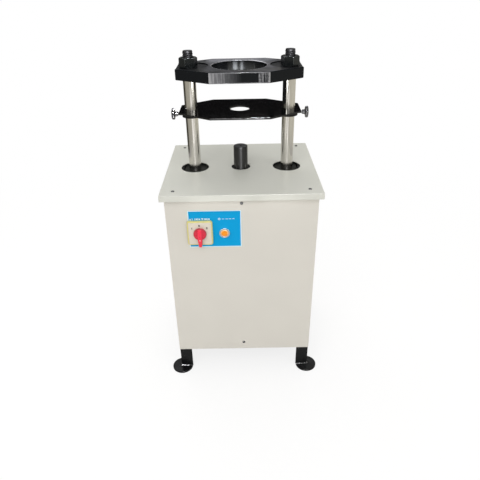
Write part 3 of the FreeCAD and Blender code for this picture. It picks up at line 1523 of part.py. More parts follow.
def build():
    angle_legs()
    foot_discs()
    top_rails = frame_rails("top_rails", FRAME_TOP, -1)
    tapped(top_rails, f"{PANEL_TOP} - panel_screw_inset - {FRAME_TOP}")
    corner_holes = sketch(top_rails)
    lid_screws(corner_holes, "screw_radius")
    pocket(top_rails, corner_holes, "leg_thick")
    bottom_rails = frame_rails("bottom_rails", "cabinet_bottom", 1)
    tapped(bottom_rails, "panel_screw_inset")
    side_bearers()
    cross_bearers()
    base_shelf()
    lid()
    front_panel()
    rear_panel()
    side_panel("left_panel", -1)
    side_panel("right_panel", 1)
    cover_screws()
    cable_gland()
    lower_crosshead()
    upper_crosshead()
    column("column_left", -1)
    column("column_right", 1)
    column_nuts("top_nuts", "crosshead_top - spotface_depth", "nut_turn")
    column_nuts("bottom_nuts", f"{LOWER_UNDERSIDE} - nut_height", "0")
    crosshead_bolts()
    tray()
    collars()
    for hand, side in (("left", -1), ("right", 1)):
        clamp_tip(f"clamp_tip_{hand}", side)
        clamp_stud(f"clamp_stud_{hand}", side)
        clamp_knob(f"clamp_knob_{hand}", side)
    cylinder_head()
    cylinder_bolts()
    cylinder_barrel()
    cylinder_cap()
    rod_wiper()
    ram()
    piston()
    motor_body()
    fan_cover()
    motor_shaft()
    motor_fan()
    terminal_box()
    pump_coupling()
    bell_housing()
    gear_pump()
    oil_tank()
    tank_lid()
    tank_breather()
    valve_block()
    solenoid_valve()
    routes = hydraulic_pipes()
    pipe_fittings(routes)
    electrical_box()
    control_plate()
    switch_bezel()
    switch_face()
    switch_body()
    switch_handle()
    lamp_bezel()
    lamp_lens()
    lamp_body()
    doc.recompute()


def check_and_export():
    """Refuse a failed or empty object, then write one STEP file for each node."""
    for thing in doc.Objects:
        if "Invalid" in thing.State or "Error" in thing.State:
            raise RuntimeError(f"{thing.Label} did not rebuild")
    for node in nodes:
        if node.Shape.isNull() or not node.Shape.isValid() or not node.Shape.Solids:
            raise RuntimeError(f"{node.Label} has no valid solid")
    os.makedirs("parts", exist_ok=True)
    for node in nodes:
        node.Shape.exportStep(f"parts/{node.Label}.step")


build()
check_and_export()
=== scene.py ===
import math
import random
from functools import reduce

import bmesh
import bpy
from mathutils import Matrix, Vector


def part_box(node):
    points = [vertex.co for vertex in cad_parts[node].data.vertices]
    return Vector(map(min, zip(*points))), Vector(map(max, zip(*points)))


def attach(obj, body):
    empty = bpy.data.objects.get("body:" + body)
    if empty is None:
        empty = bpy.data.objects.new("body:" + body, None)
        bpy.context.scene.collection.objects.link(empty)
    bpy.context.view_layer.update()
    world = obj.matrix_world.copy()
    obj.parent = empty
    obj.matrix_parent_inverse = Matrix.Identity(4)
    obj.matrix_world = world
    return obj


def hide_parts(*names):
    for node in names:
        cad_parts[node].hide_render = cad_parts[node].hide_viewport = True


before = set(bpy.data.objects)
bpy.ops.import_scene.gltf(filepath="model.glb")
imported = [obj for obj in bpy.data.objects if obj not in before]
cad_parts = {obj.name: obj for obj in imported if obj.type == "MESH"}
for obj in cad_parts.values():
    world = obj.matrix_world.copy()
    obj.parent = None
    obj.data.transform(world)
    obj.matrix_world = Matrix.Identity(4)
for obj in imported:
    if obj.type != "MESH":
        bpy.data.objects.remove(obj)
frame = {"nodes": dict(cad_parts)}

bl_info = {
    "name": "Hydraulic Sample Extruder",
    "version": (1, 0, 0),
    "blender": (4, 5, 0),
    "location": "3D View > Sidebar > Extruder",
    "description": "Dresses a floor-standing hydraulic sample extruder with its real surfaces and details",
    "category": "Object",
}

MM = 0.001
nodes = frame["nodes"]


def linear(code):
    """Linear RGBA of an sRGB hex colour."""
    channels = [int(code[place:place + 2], 16) / 255 for place in (1, 3, 5)]
    return [c / 12.92 if c <= 0.04045 else ((c + 0.055) / 1.055) ** 2.4 for c in channels] + [1.0]


# ---------------------------------------------------------------- settings

def length(name, description, millimetres):
    return bpy.props.FloatProperty(name=name, description=description, default=millimetres * MM,
                                   min=0.0, precision=5, unit="LENGTH")


def colour(name, description, code):
    return bpy.props.FloatVectorProperty(name=name, description=description, subtype="COLOR", size=4,
                                         min=0.0, max=1.0, default=linear(code))


class ExtruderSizes(bpy.types.PropertyGroup):
    """Sizes of the details that the solids leave out."""
    sheet_edge: length("Sheet edge", "Rounding of the folded and cut edges of the covers", 0.7)
    plate_edge: length("Plate edge", "Rounding of the edges of the thick plates", 0.5)
    moulded_edge: length("Moulded edge", "Rounding of the edges of moulded plastic", 1.2)
    # A real M30 stud has a pitch of 3.5 mm. It is drawn coarser, so that the threads show.
    stud_pitch: length("Column thread pitch", "Distance between the threads on the column studs", 6.0)
    clamp_pitch: length("Clamp thread pitch", "Distance between the threads on the clamp studs", 1.5)
    weld_radius: length("Weld radius", "Half the width of the bead between leg and foot", 2.4)
    weld_ripple: length("Weld ripple", "Distance between the ripples of a weld bead", 3.2)
    symbol_line: length("Symbol line", "Width of the printed lines on the control plate", 1.3)
    knob_lobes: bpy.props.IntProperty(name="Knob lobes", description="Grips round a clamp knob", default=5,
                                      min=3, max=9)


class ExtruderColours(bpy.types.PropertyGroup):
    """Colours of the surfaces."""
    cabinet: colour("Cabinet", "Powder coat of the front, side and rear covers", "#CECAC1")
    lid: colour("Lid", "Powder coat of the lid", "#CBCBC2")
    frame: colour("Frame", "Enamel of the legs, feet and rails", "#08090A")
    crosshead: colour("Crosshead", "Lacquer over blackened steel", "#0B0E12")
    anchor: colour("Lower crosshead", "Phosphated steel seen through the holes of the lid", "#282926")
    tray: colour("Tray", "Gloss enamel of the tray", "#050506")
    plate: colour("Control plate", "Printed film", "#0098D0")
    bezel: colour("Switch bezel", "Moulded frame round the switch", "#D4CA7C")
    face: colour("Switch face", "Dial plate of the switch", "#DCD4C4")
    handle: colour("Switch handle", "Moulded handle", "#E22943")
    lens: colour("Lamp lens", "Moulded lens of the pilot lamp", "#F19313")
    motor: colour("Motor", "Enamel of the motor", "#44566B")
    tank: colour("Tank", "Enamel of the oil tank", "#8D9091")


# ---------------------------------------------------------------- meshes

def welded(node):
    """The mesh of a solid with its split corners joined again."""
    mesh = bmesh.new()
    mesh.from_mesh(nodes[node].data)
    bmesh.ops.remove_doubles(mesh, verts=mesh.verts, dist=1e-6)
    return mesh


def islands(node):
    """The boxes of the separate solids of a node, as pairs of corners."""
    mesh = welded(node)
    left = set(mesh.verts)
    boxes = []
    while left:
        queue = [left.pop()]
        low = high = queue[0].co.copy()
        while queue:
            vert = queue.pop()
            low = Vector(map(min, low, vert.co))
            high = Vector(map(max, high, vert.co))
            near = {edge.other_vert(vert) for edge in vert.link_edges} & left
            left -= near
            queue += near
        boxes.append((low, high))
    mesh.free()
    return sorted(boxes, key=lambda box: tuple(round(v, 5) for v in box[0]))


def turned(profile, segments=48, shape=None, at=Matrix()):
    """A surface turned about Z from points of radius and height, and then placed. Shape moves its points."""
    mesh = bmesh.new()
    rings = []
    for radius, height in profile:
        ring = []
        for step in range(segments if radius else 1):
            angle = 2 * math.pi * step / segments
            r, z = shape(angle, radius, height) if shape else (radius, height)
            ring.append(mesh.verts.new((r * math.cos(angle), r * math.sin(angle), z)))
        rings.append(ring)
    for lower, upper in zip(rings, rings[1:]):
        for step in range(segments):
            after = (step + 1) % segments
            corners = dict.fromkeys((lower[step % len(lower)], lower[after % len(lower)],
                                     upper[after % len(upper)], upper[step % len(upper)]))
            if len(corners) > 2:
                mesh.faces.new(list(corners))
    if profile[0] == profile[-1]:
        bmesh.ops.remove_doubles(mesh, verts=mesh.verts, dist=1e-7)
    else:
        for ring in (rings[0][::-1], rings[-1]):
            if len(ring) > 1:
                mesh.faces.new(ring)
    bmesh.ops.recalc_face_normals(mesh, faces=mesh.faces)
    mesh.transform(at)
    return mesh


def arc(centre_r, centre_z, radius, start, end, steps=6):
    """Profile points along an arc, with its angles in degrees."""
    angles = [math.radians(start + (end - start) * step / steps) for step in range(steps + 1)]
    return [(centre_r + radius * math.cos(a), centre_z + radius * math.sin(a)) for a in angles]


def threaded(radius, depth, pitch, low, high, at):
    """A turned rod with a helical thread, tapered into its two ends."""
    rows = max(2, round((high - low) / pitch * 10))

    def shape(angle, r, z):
        phase = (z / pitch - angle / (2 * math.pi)) % 1
        groove = max(0.0, 1 - abs(phase - 0.5) * 2.6)
        runout = min(1.0, (z - low) / pitch, (high - z) / pitch)
        end = max(0.0, 1 - (high - z) / pitch, 1 - (z - low) / pitch)
        return r - depth * max(groove * runout, end * 0.9), z
    return turned([(radius, low + (high - low) * row / rows) for row in range(rows + 1)], 48, shape, at)


def box_mesh(low, high):
    mesh = bmesh.new()
    bmesh.ops.create_cube(mesh, size=1)
    for vert in mesh.verts:
        vert.co = Vector(l + (c + 0.5) * (h - l) for l, h, c in zip(low, high, vert.co))
    return mesh


def skinned(rings, closed=False):
    """A surface over rings of points that follow each other, closed to a loop or capped at its two ends."""
    mesh = bmesh.new()
    rings = [[mesh.verts.new(point) for point in ring] for ring in rings]
    for ring, after in zip(rings, rings[1:] + (rings[:1] if closed else [])):
        for step in range(len(ring)):
            nearby = (step + 1) % len(ring)
            mesh.faces.new([ring[step], ring[nearby], after[nearby], after[step]])
    if not closed:
        mesh.faces.new(rings[0][::-1])
        mesh.faces.new(rings[-1])
    bmesh.ops.recalc_face_normals(mesh, faces=mesh.faces)
    return mesh


def joined(meshes):
    """One mesh from several, which are used up."""
    whole = bmesh.new()
    part = bpy.data.meshes.new("part")
    for mesh in meshes:
        mesh.to_mesh(part)
        mesh.free()
        whole.from_mesh(part)
    bpy.data.meshes.remove(part)
    return whole


def facing(direction, at):
    """The matrix that turns Z towards a direction and moves to a place."""
    return Matrix.Translation(at) @ Vector(direction).to_track_quat("Z", "Y").to_matrix().to_4x4()


def in_scene(name, data):
    """A new object in the scene."""
    thing = bpy.data.objects.new(name, data)
    bpy.context.scene.collection.objects.link(thing)
    return thing


def as_object(name, mesh):
    """A new object in the scene from a mesh, which is used up."""
    data = bpy.data.meshes.new(name)
    mesh.to_mesh(data)
    mesh.free()
    return in_scene(name, data)


def make(name, mesh, body, skin, replaces=(), smooth=35):
    """A finished piece of the object, riding on a body."""
    piece = as_object(name, mesh)
    piece.data.shade_smooth()
    piece.data.set_sharp_from_angle(angle=math.radians(smooth))
    piece.data.materials.append(skin.material)
    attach(piece, body)
    if replaces:
        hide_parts(*replaces)
    return piece


def modified(piece, kind, **settings):
    """The piece with a modifier applied to its mesh."""
    modifier = piece.modifiers.new(kind.title(), kind)
    for name, value in settings.items():
        setattr(modifier, name, value)
    old = piece.data
    data = bpy.data.meshes.new_from_object(piece.evaluated_get(bpy.context.evaluated_depsgraph_get()))
    data.name = old.name
    piece.modifiers.clear()
    piece.data = data
    bpy.data.meshes.remove(old)
    return piece


def softened(node, body, skin, width, segments=2, edge=None):
    """A solid with its sharp edges rounded, in place of the solid. Edge is a surface for the rounding."""
    mesh = welded(node)
    bmesh.ops.dissolve_limit(mesh, angle_limit=math.radians(0.5), verts=mesh.verts, edges=mesh.edges)
    piece = make(f"{node}_finished", mesh, body, skin, (node,), 30)
    if edge:
        piece.data.materials.append(edge.material)
    modified(piece, "BEVEL", width=width, segments=segments, limit_method="ANGLE",
             angle_limit=math.radians(40), harden_normals=True, use_clamp_overlap=True,
             material=1 if edge else -1)


def paint(skin, *names):
    """Gives solids their surface."""
    for name in names:
        data = nodes[name].data
        data.materials.clear()
        data.materials.append(skin.material)


# ---------------------------------------------------------------- surfaces

class Nodes:
    """The nodes of a material or a world."""

    def __init__(self, block):
        block.use_nodes = True
        self.tree = block.node_tree

    def add(self, kind, *inputs, out=None, **settings):
        """Adds a node with its settings, and gives one of its outputs. Inputs are set or linked in their
        order, a hex code as a colour, and None leaves one as it is."""
        made = self.tree.nodes.new("ShaderNode" + kind)
        for name, value in settings.items():
            setattr(made, name, value)
        for socket, value in zip([socket for socket in made.inputs if socket.enabled], inputs):
            if isinstance(value, bpy.types.NodeSocket):
                self.tree.links.new(value, socket)
            elif value is not None:
                socket.default_value = linear(value) if isinstance(value, str) else value
        return made.outputs[out] if out else next(socket for socket in made.outputs if socket.enabled)

    def axes(self):
        """X, Y and Z of a point of the object, in metres."""
        return self.add("SeparateXYZ", self.add("TexCoord", out="Object")).node.outputs

    def distance(self, first, second):
        """How far a point is from an axis, from its two coordinates across it."""
        squares = [self.add("Math", value, value, operation="MULTIPLY") for value in (first, second)]
        return self.add("Math", self.add("Math", *squares, operation="ADD"), operation="SQRT")

    def grain(self, size, detail=2.0, stretch=(1, 1, 1), roughness=0.5):
        """Noise whose cells measure a size in millimetres."""
        where = self.add("Mapping", self.add("TexCoord", out="Object"), None, None, stretch)
        return self.add("TexNoise", where, 1 / (size * MM), detail, roughness)

    def within(self, value, low, high, soft):
        """A mask of the values from low to high, with soft edges outside them. None leaves a side open."""
        sides = []
        if low is not None:
            sides.append(self.add("MapRange", value, low - soft, low))
        if high is not None:
            sides.append(self.add("MapRange", value, high, high + soft, 1.0, 0.0))
        return self.all_of(*sides)

    def all_of(self, *masks):
        """A mask of what all of these cover, as strong as their product."""
        return reduce(lambda one, other: self.add("Math", one, other, operation="MULTIPLY"), masks)

    def any_of(self, *masks):
        """A mask of what any of these covers."""
        return reduce(lambda one, other: self.add("Math", one, other, operation="MAXIMUM"), masks)

    def fade(self, value, low, high, first, second):
        """A colour that goes from one to another as a value goes from low to high."""
        return self.add("Mix", self.add("MapRange", value, low, high), first, second, data_type="RGBA")


class Surface(Nodes):
    """A material. Its constants are set on the shader's own sockets. Base is a hex code or linear colour."""

    def __init__(self, name, base="#FFFFFF", **sockets):
        self.material = bpy.data.materials.new(name)
        super().__init__(self.material)
        self.shader = self.tree.nodes["Principled BSDF"]
        self.normal = None
        self.base = self.colour = linear(base) if isinstance(base, str) else base[:]
        self.material.diffuse_color = self.base
        for socket, value in {"base_color": self.base, **sockets}.items():
            socket = socket.replace("_", " ").title().replace("Ior", "IOR")
            self.shader.inputs[socket].default_value = value

    def link(self, socket, value):
        self.tree.links.new(value, self.shader.inputs[socket])
        return self

    def shaded(self, factor):
        """The base colour made lighter or darker."""
        return [min(1.0, channel * factor) for channel in self.base[:3]] + [1.0]

    def mottle(self, size, lighter, darker, detail=3.0, stretch=(1, 1, 1)):
        """Makes the base colour uneven, in patches of a size in millimetres."""
        self.colour = self.fade(self.grain(size, detail, stretch), 0.3, 0.7, self.shaded(darker),
                                self.shaded(lighter))
        return self.link("Base Color", self.colour)

    def layer(self, mask, colour):
        """Lays a colour over the one that is there, where a mask covers it."""
        self.colour = self.add("Mix", mask, self.colour, colour, data_type="RGBA")
        return self.link("Base Color", self.colour)

    def polish(self, size, low, high, stretch=(1, 1, 1), detail=3.0):
        """Roughness that changes in patches of a size in millimetres."""
        grain = self.grain(size, detail, stretch)
        return self.link("Roughness", self.add("MapRange", grain, 0.3, 0.7, low, high))

    def relief(self, size, height, detail=1.0, stretch=(1, 1, 1)):
        """A raised grain with its size and height in millimetres, over one that is there already."""
        self.normal = self.add("Bump", 1.0, height * MM, None, self.grain(size, detail, stretch), self.normal)
        return self.link("Normal", self.normal)

    def ring_ground(self):
        """Turns the stretch of the highlights round the Z axis, the way a grinding wheel goes."""
        return self.link("Tangent", self.add("Tangent", direction_type="RADIAL", axis="Z"))


def powder_coat(name, base, roughness=0.39, peel=0.035):
    # Polyester powder coat, sprayed and baked: a slightly pebbled skin with a broad soft sheen. The lid had
    # a heavier coat, which flowed out flatter and glossier. Orange peel has cells of about 2 mm.
    skin = Surface(name, base, ior=1.5).mottle(90, 1.008, 0.99, 0.0).relief(2.2, peel, 0.0)
    return skin.polish(140, roughness - 0.03, roughness + 0.03, detail=0.0)


def enamel(name, base, roughness=0.28, sheen=0.3):
    # Air-dried enamel brushed or sprayed on steel: half-gloss, with runs and dust held in it.
    skin = Surface(name, base, ior=1.5, specular_ior_level=sheen).mottle(25, 1.4, 0.75)
    skin.polish(30, roughness - 0.08, roughness + 0.12)
    return skin.relief(9, 0.08, 2.0, (1, 1, 0.35)).relief(1.1, 0.02)


def blackened_plate(name, base):
    # Milled steel plate, blackened and lacquered: a smoky grey painted sheen on top, with bright metal at the
    # bore's chamfer, a half-polished bore with painted shade under its rim, and cutter marks that show
    # through on the front edge.
    low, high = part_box("upper_crosshead")
    bore, flat = 80 * MM, 81 * MM  # the bore's radius, and half the width of the front edge
    skin = Surface(name, base, ior=1.5, specular_ior_level=0.16).relief(1.6, 0.012, 2.0, (0.15, 1, 1))
    x, y, z = skin.axes()
    radius = skin.distance(x, y)
    rim = skin.all_of(skin.within(radius, bore - 0.4 * MM, bore + 2.2 * MM, 0.2 * MM),
                      skin.within(z, high.z - 1.5 * MM, None, 0.3 * MM))
    wall = skin.all_of(skin.within(radius, None, bore + 0.1 * MM, 0.2 * MM),
                       skin.within(z, None, high.z - 1.8 * MM, 0.2 * MM))
    front = skin.within(y, None, low.y + 0.1 * MM, 0.2 * MM)
    # Cutter marks run from top to bottom; they lie about 3 mm apart and break up along their length. On the
    # left the lacquer is rubbed thin over all of them, and on the right it is scratched through.
    cuts = skin.grain(3.4, 3.0, (1, 1, 0.07), 0.6)
    marks = skin.all_of(skin.add("MapRange", cuts, 0.42, 0.62),
                        skin.add("MapRange", skin.grain(5), 0.35, 0.6, 0.3, 1.0))
    left = skin.all_of(skin.add("MapRange", x, -flat, -20 * MM, 0.44, 0.08),
                       skin.add("MapRange", x, -20 * MM, 6 * MM, 1.0, 0.0),
                       skin.add("MapRange", cuts, 0.4, 0.6, 0.6, 1.3))
    right = skin.any_of(skin.all_of(skin.within(x, 53 * MM, 57 * MM, 2 * MM), 0.8),
                        skin.add("MapRange", x, 57 * MM, 60 * MM, 0.0, 0.42))
    edges = skin.any_of(skin.within(x, flat, None, 1 * MM), skin.within(x, None, -flat, 1 * MM),
                        skin.within(z, high.z - 1.6 * MM, None, 0.8 * MM),
                        skin.within(z, None, low.z + 1.6 * MM, 0.8 * MM))
    worn = skin.any_of(left, skin.all_of(marks, right), skin.all_of(edges, 0.7))
    bare = skin.any_of(skin.all_of(front, worn), rim)
    # A smoky grey painted sheen lies on the top, most of all behind the bore, but not round the nuts.
    top_painted_sheen = skin.all_of(skin.add("MapRange", skin.grain(60, 4.0), 0.3, 0.7, 0.35, 1.0),
                       skin.within(z, high.z - 0.2 * MM, None, 0.2 * MM),
                       skin.add("MapRange", x, -104 * MM, -84 * MM, 0.06, 1.0),
                       skin.add("MapRange", x, 90 * MM, 118 * MM, 1.0, 0.14),
                       skin.add("MapRange", y, -50 * MM, 80 * MM, 0.3, 1.0))
    # The bore's wall is painted darker under its upper rim, as shade.
    rim_painted_shade = skin.fade(z, low.z + 4 * MM, high.z - 3 * MM, "#525457", "#27292C")
    skin.layer(top_painted_sheen, "#7C7C83").layer(wall, rim_painted_shade).layer(bare, "#D6D6DB")
    skin.link("Metallic", skin.any_of(bare, skin.all_of(wall, 0.8)))
    lacquer = skin.add("MapRange", skin.grain(45, 4.0), 0.3, 0.7, 0.26, 0.4)
    return skin.link("Roughness", skin.add("Math", lacquer, skin.all_of(wall, 0.2), operation="SUBTRACT"))


def gloss_plate(name, base):
    # Thin plate in black stoving enamel: a deep gloss that mirrors the columns, rubbed to the metal along
    # its front edge.
    low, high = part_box("tray")
    skin = Surface(name, base, ior=1.5)
    _, y, z = skin.axes()
    rubbed = skin.all_of(skin.within(y, None, low.y + 0.5 * MM, 0.4 * MM),
                         skin.within(z, high.z - 1.0 * MM, None, 0.6 * MM),
                         skin.add("MapRange", skin.grain(22, 3.0), 0.36, 0.5))
    skin.mottle(30, 1.5, 0.8).layer(rubbed, "#8E8E90").link("Metallic", rubbed)
    return skin.polish(20, 0.05, 0.09).relief(6, 0.01)


def hard_chrome(name):
    # Hard chromium plated on a ground bar: the wheel's rings smear every reflection along the bar. Faint
    # streaks of wear run along it; they are a few millimetres wide.
    skin = Surface(name, "#D9D6D1", metallic=1.0, anisotropic=0.9, anisotropic_rotation=0.25).ring_ground()
    return skin.mottle(5, 1.04, 0.94, 2.0, (1, 1, 0.04)).polish(40, 0.14, 0.165, (1, 1, 0.3))


def bright_chrome(name, base):
    # Bright chromium plated on a polished casting: a mirror with faint ripples and finger marks.
    return Surface(name, base, metallic=1.0).polish(7, 0.04, 0.1).relief(5, 0.006)


def black_oxide(name, base, roughness, metallic=0.85):
    # Steel fastener blackened in hot salts and oiled: dark metal with a thin grey bloom.
    skin = Surface(name, base, metallic=metallic).mottle(12, 1.2, 0.85)
    return skin.polish(10, roughness - 0.05, roughness + 0.06).relief(1.5, 0.004)


def turned_steel(name, base="#A9A9AB", roughness=0.32):
    # Turned or milled steel: bright metal with fine tool rings.
    skin = Surface(name, base, metallic=1.0).mottle(18, 1.08, 0.86)
    skin.polish(12, roughness - 0.08, roughness + 0.1)
    return skin.relief(0.9, 0.01, 2.0, (0.2, 0.2, 1))


def ram_black(name):
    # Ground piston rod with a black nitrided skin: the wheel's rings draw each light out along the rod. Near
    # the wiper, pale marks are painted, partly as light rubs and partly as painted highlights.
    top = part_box("rod_wiper")[1].z
    skin = Surface(name, "#040507", ior=1.5, specular_ior_level=0.8, anisotropic=0.95,
                   anisotropic_rotation=0.25).ring_ground()
    z = skin.axes()["Z"]
    # Pale marks near the wiper: light rubs, and painted highlights round the foot of the rod.
    rubs_and_highlights = skin.all_of(skin.add("MapRange", skin.grain(3.0, 3.0, (1, 1, 0.12)), 0.6, 0.7),
                       skin.add("MapRange", z, top + 12 * MM, top + 24 * MM, 0.7, 0.0))
    return skin.mottle(16, 1.5, 0.8).layer(rubs_and_highlights, "#7E7D7B").polish(12, 0.34, 0.4)


def moulded(name, base, roughness=0.36):
    # Injection-moulded ABS or nylon: even colour, faint spark-eroded texture from the mould.
    skin = Surface(name, base, ior=1.46).mottle(12, 1.05, 0.95)
    return skin.polish(8, roughness - 0.05, roughness + 0.06).relief(0.7, 0.015)


def handle_painted_light(name, base, crown):
    # Moulded ABS with a painted highlight on its crown and painted shade in its hollows.
    skin = moulded(name, base, 0.3)
    y = skin.axes()["Y"]
    # Lighter on the crown as a painted highlight, and darker in the hollows behind it as painted shade.
    return skin.link("Base Color", skin.fade(y, crown + 2.5 * MM, crown + 7.5 * MM, skin.shaded(1.1),
                                             skin.shaded(0.55)))


def printed_film(name, base):
    # Back-printed polycarbonate film on aluminium: even blue under a fine velvet grain, darker towards its
    # border, most of all at the left and top, as painted shade, with the cut edge of the metal bare.
    low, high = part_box("control_plate")
    skin = Surface(name, base, ior=1.58, specular_ior_level=0.08)
    x, _, z = skin.axes()
    inside = skin.all_of(skin.within(x, low.x + 9 * MM, high.x - 3 * MM, 9 * MM),
                         skin.within(z, low.z + 3 * MM, high.z - 8 * MM, 8 * MM))
    # The darkening of the blue towards the border is painted shade.
    printed = skin.add("Mix", skin.add("MapRange", inside, 0.0, 1.0, 0.35, 1.0), skin.shaded(0.72), skin.base,
                       data_type="RGBA")
    film = skin.all_of(skin.within(x, low.x + 2.2 * MM, high.x - 2.2 * MM, 0.2 * MM),
                       skin.within(z, low.z + 2.2 * MM, high.z - 1.2 * MM, 0.2 * MM))
    skin.link("Base Color", skin.add("Mix", film, "#D4F0F6", printed, data_type="RGBA"))
    return skin.polish(20, 0.3, 0.38).relief(0.9, 0.01)


def brushed_dial(name, base):
    # Aluminium brushed level before anodising: fine lines about 0.4 mm apart, drawn at 0.8 mm.
    skin = Surface(name, base, metallic=0.15).mottle(12, 1.03, 0.95)
    return skin.polish(0.8, 0.34, 0.46, (0.05, 1, 1)).relief(0.8, 0.006, 2.0, (0.04, 1, 1))


def white_ink(name):
    # Screen-printed ink: matt white, a little thin in places.
    return Surface(name, "#E9F1F4", roughness=0.45, ior=1.5).mottle(3, 1.0, 0.93)


def cast_metal(name, base):
    # Die-cast or sand-cast aluminium: dull metal with a pitted skin.
    skin = Surface(name, base, metallic=0.9).mottle(15, 1.12, 0.85)
    return skin.polish(9, 0.4, 0.6).relief(1.4, 0.06, 3.0)


def weld_metal(name):
    # Arc weld under thin black paint: ripples whose crests have rubbed bright.
    skin = Surface(name, "#0D0D0F")
    rubbed = skin.add("MapRange", skin.grain(6, 3.0), 0.5, 0.56)
    return skin.layer(rubbed, "#D6D6DA").link("Metallic", rubbed).polish(4, 0.3, 0.5).relief(1.0, 0.05, 3.0)


def rubber(name):
    # Nitrile rubber, pressed in a mould: matt, with a grey bloom.
    skin = Surface(name, "#131314", ior=1.52).mottle(7, 1.6, 0.8)
    return skin.polish(6, 0.55, 0.7).relief(0.6, 0.02, 2.0)


def lens_plastic(name, base):
    # Clear orange polycarbonate: glossy, and paler towards the rim with a painted highlight.
    low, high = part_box("lamp_lens")
    centre = (low + high) / 2
    skin = Surface(name, base, roughness=0.12, ior=1.58, subsurface_weight=0.25, subsurface_scale=4 * MM)
    x, _, z = skin.axes()
    radius = skin.distance(skin.add("Math", x, centre.x, operation="SUBTRACT"),
                           skin.add("Math", z, centre.z, operation="SUBTRACT"))
    # The paler rim is a painted highlight.
    skin.link("Base Color", skin.fade(radius, 8 * MM, 11 * MM, skin.base, "#FFD29B"))
    return skin.relief(1.5, 0.01)


# ---------------------------------------------------------------- operators

class Piece:
    """What the operators share: each is one step to undo."""
    bl_options = {"REGISTER", "UNDO"}


class EXTRUDER_OT_cabinet(Piece, bpy.types.Operator):
    """Coats the covers, and rounds the edges of their sheet"""
    bl_idname = "extruder.cabinet"
    bl_label = "Cabinet"

    def execute(self, context):
        edge = context.scene.extruder_sizes.sheet_edge
        colours = context.scene.extruder_colours
        coat = powder_coat("cabinet_powder_coat", colours.cabinet)
        for name in ("front_panel", "left_panel", "right_panel"):
            softened(name, "machine", coat, edge / 2)
        paint(coat, "rear_panel")
        softened("lid", "machine", powder_coat("lid_powder_coat", colours.lid, 0.31, 0.012),
                 edge, 3)
        return {"FINISHED"}


class EXTRUDER_OT_cover_screws(Piece, bpy.types.Operator):
    """Domed screws with a cross recess, in place of the plain ones"""
    bl_idname = "extruder.cover_screws"
    bl_label = "Cover screws"

    def execute(self, context):
        head, edge, rise, shank, reach = 4.8 * MM, 0.5 * MM, 2.6 * MM, 2.5 * MM, 8 * MM
        profile = [(0, -reach), (shank * 0.6, -reach), (shank, -reach + 1 * MM), (shank, 0), (head, 0),
                   (head, edge)]
        profile += [(head * math.cos(a), edge + (rise - edge) * math.sin(a))
                    for a in (0.3, 0.6, 0.9, 1.15, 1.35)]
        steel = black_oxide("screw_zinc", "#6A6A6C", 0.3)
        screw = make("screw", turned(profile + [(0, rise)], 32), "machine", steel)
        for angle in (0, math.pi / 2):
            arm = box_mesh((-2.3 * MM, -0.45 * MM, 0.9 * MM), (2.3 * MM, 0.45 * MM, 4 * MM))
            arm.transform(Matrix.Rotation(angle, 4, "Z"))
            cutter = as_object("recess", arm)
            modified(screw, "BOOLEAN", object=cutter, operation="DIFFERENCE", solver="EXACT")
            bpy.data.objects.remove(cutter)
        cut = bmesh.new()
        cut.from_mesh(screw.data)
        bpy.data.objects.remove(screw)
        turns = random.Random(4)
        placed = []
        for low, high in islands("cover_screws"):
            size = high - low
            axis = max(range(3), key=lambda i: size[i])
            seat = (low + high) / 2
            outward = Vector((0, 0, 0))
            outward[axis] = 1 if axis == 2 or seat[axis] > 0 else -1
            seat[axis] = (high if outward[axis] > 0 else low)[axis] - outward[axis] * rise
            placed.append(cut.copy())
            turn = Matrix.Rotation(turns.uniform(0, math.pi / 2), 4, "Z")
            placed[-1].transform(facing(outward, seat) @ turn)
        make("cover_screw_heads", joined(placed), "machine", steel, ("cover_screws",))
        cut.free()
        return {"FINISHED"}


class EXTRUDER_OT_frame(Piece, bpy.types.Operator):
    """Enamels the frame, and adds the weld beads between legs and feet"""
    bl_idname = "extruder.frame"
    bl_label = "Frame and feet"

    def execute(self, context):
        sizes = context.scene.extruder_sizes
        black = enamel("frame_enamel", context.scene.extruder_colours.frame)
        for name in ("legs", "foot_discs"):
            softened(name, "machine", black, sizes.plate_edge)
        paint(black, "top_rails", "bottom_rails", "side_bearers", "cross_bearers", "base_shelf")
        wall, margin = 4 * MM, 0.5 * MM
        discs = islands("foot_discs")
        room = (discs[0][1].x - discs[0][0].x) / 2 - margin
        beads = []
        for low, high in islands("legs"):
            sx = 1 if low.x > 0 else -1
            sy = 1 if low.y > 0 else -1
            outer = Vector((high.x if sx > 0 else low.x, high.y if sy > 0 else low.y, low.z))
            width = high.x - low.x
            corners = [(0, 0), (width, 0), (width, wall), (wall, wall), (wall, width), (0, width)]
            points = [outer - Vector((sx * a, sy * b, 0)) for a, b in corners]
            disc = min(((a + b) / 2 for a, b in discs), key=lambda middle: (middle - outer).length)
            beads.append(self.bead(points, sizes.weld_radius, sizes.weld_ripple, disc, room))
        make("leg_welds", joined(beads), "machine", weld_metal("weld_bead"), smooth=60)
        return {"FINISHED"}

    @staticmethod
    def bead(corners, radius, ripple, centre, room):
        """A ripple-skinned bead along a closed run of corners, fading out at the edge of its disc."""
        path = []
        for start, end in zip(corners, corners[1:] + corners[:1]):
            steps = max(1, round((end - start).length / (ripple / 4)))
            path += [start.lerp(end, step / steps) for step in range(steps)]
        rings = []
        for place, point in enumerate(path):
            ahead = (path[(place + 1) % len(path)] - path[place - 1]).normalized()
            side = ahead.cross(Vector((0, 0, 1)))
            left = room - math.hypot(point.x - centre.x, point.y - centre.y)
            swell = min(radius * (0.86 + 0.14 * abs(math.sin(math.pi * place / 4))), max(left, 0.1 * MM))
            offsets = [side * math.cos(angle) + Vector((0, 0, 1)) * math.sin(angle)
                       for angle in (2 * math.pi * step / 8 for step in range(8))]
            rings.append([point + offset * swell for offset in offsets])
        return skinned(rings, closed=True)


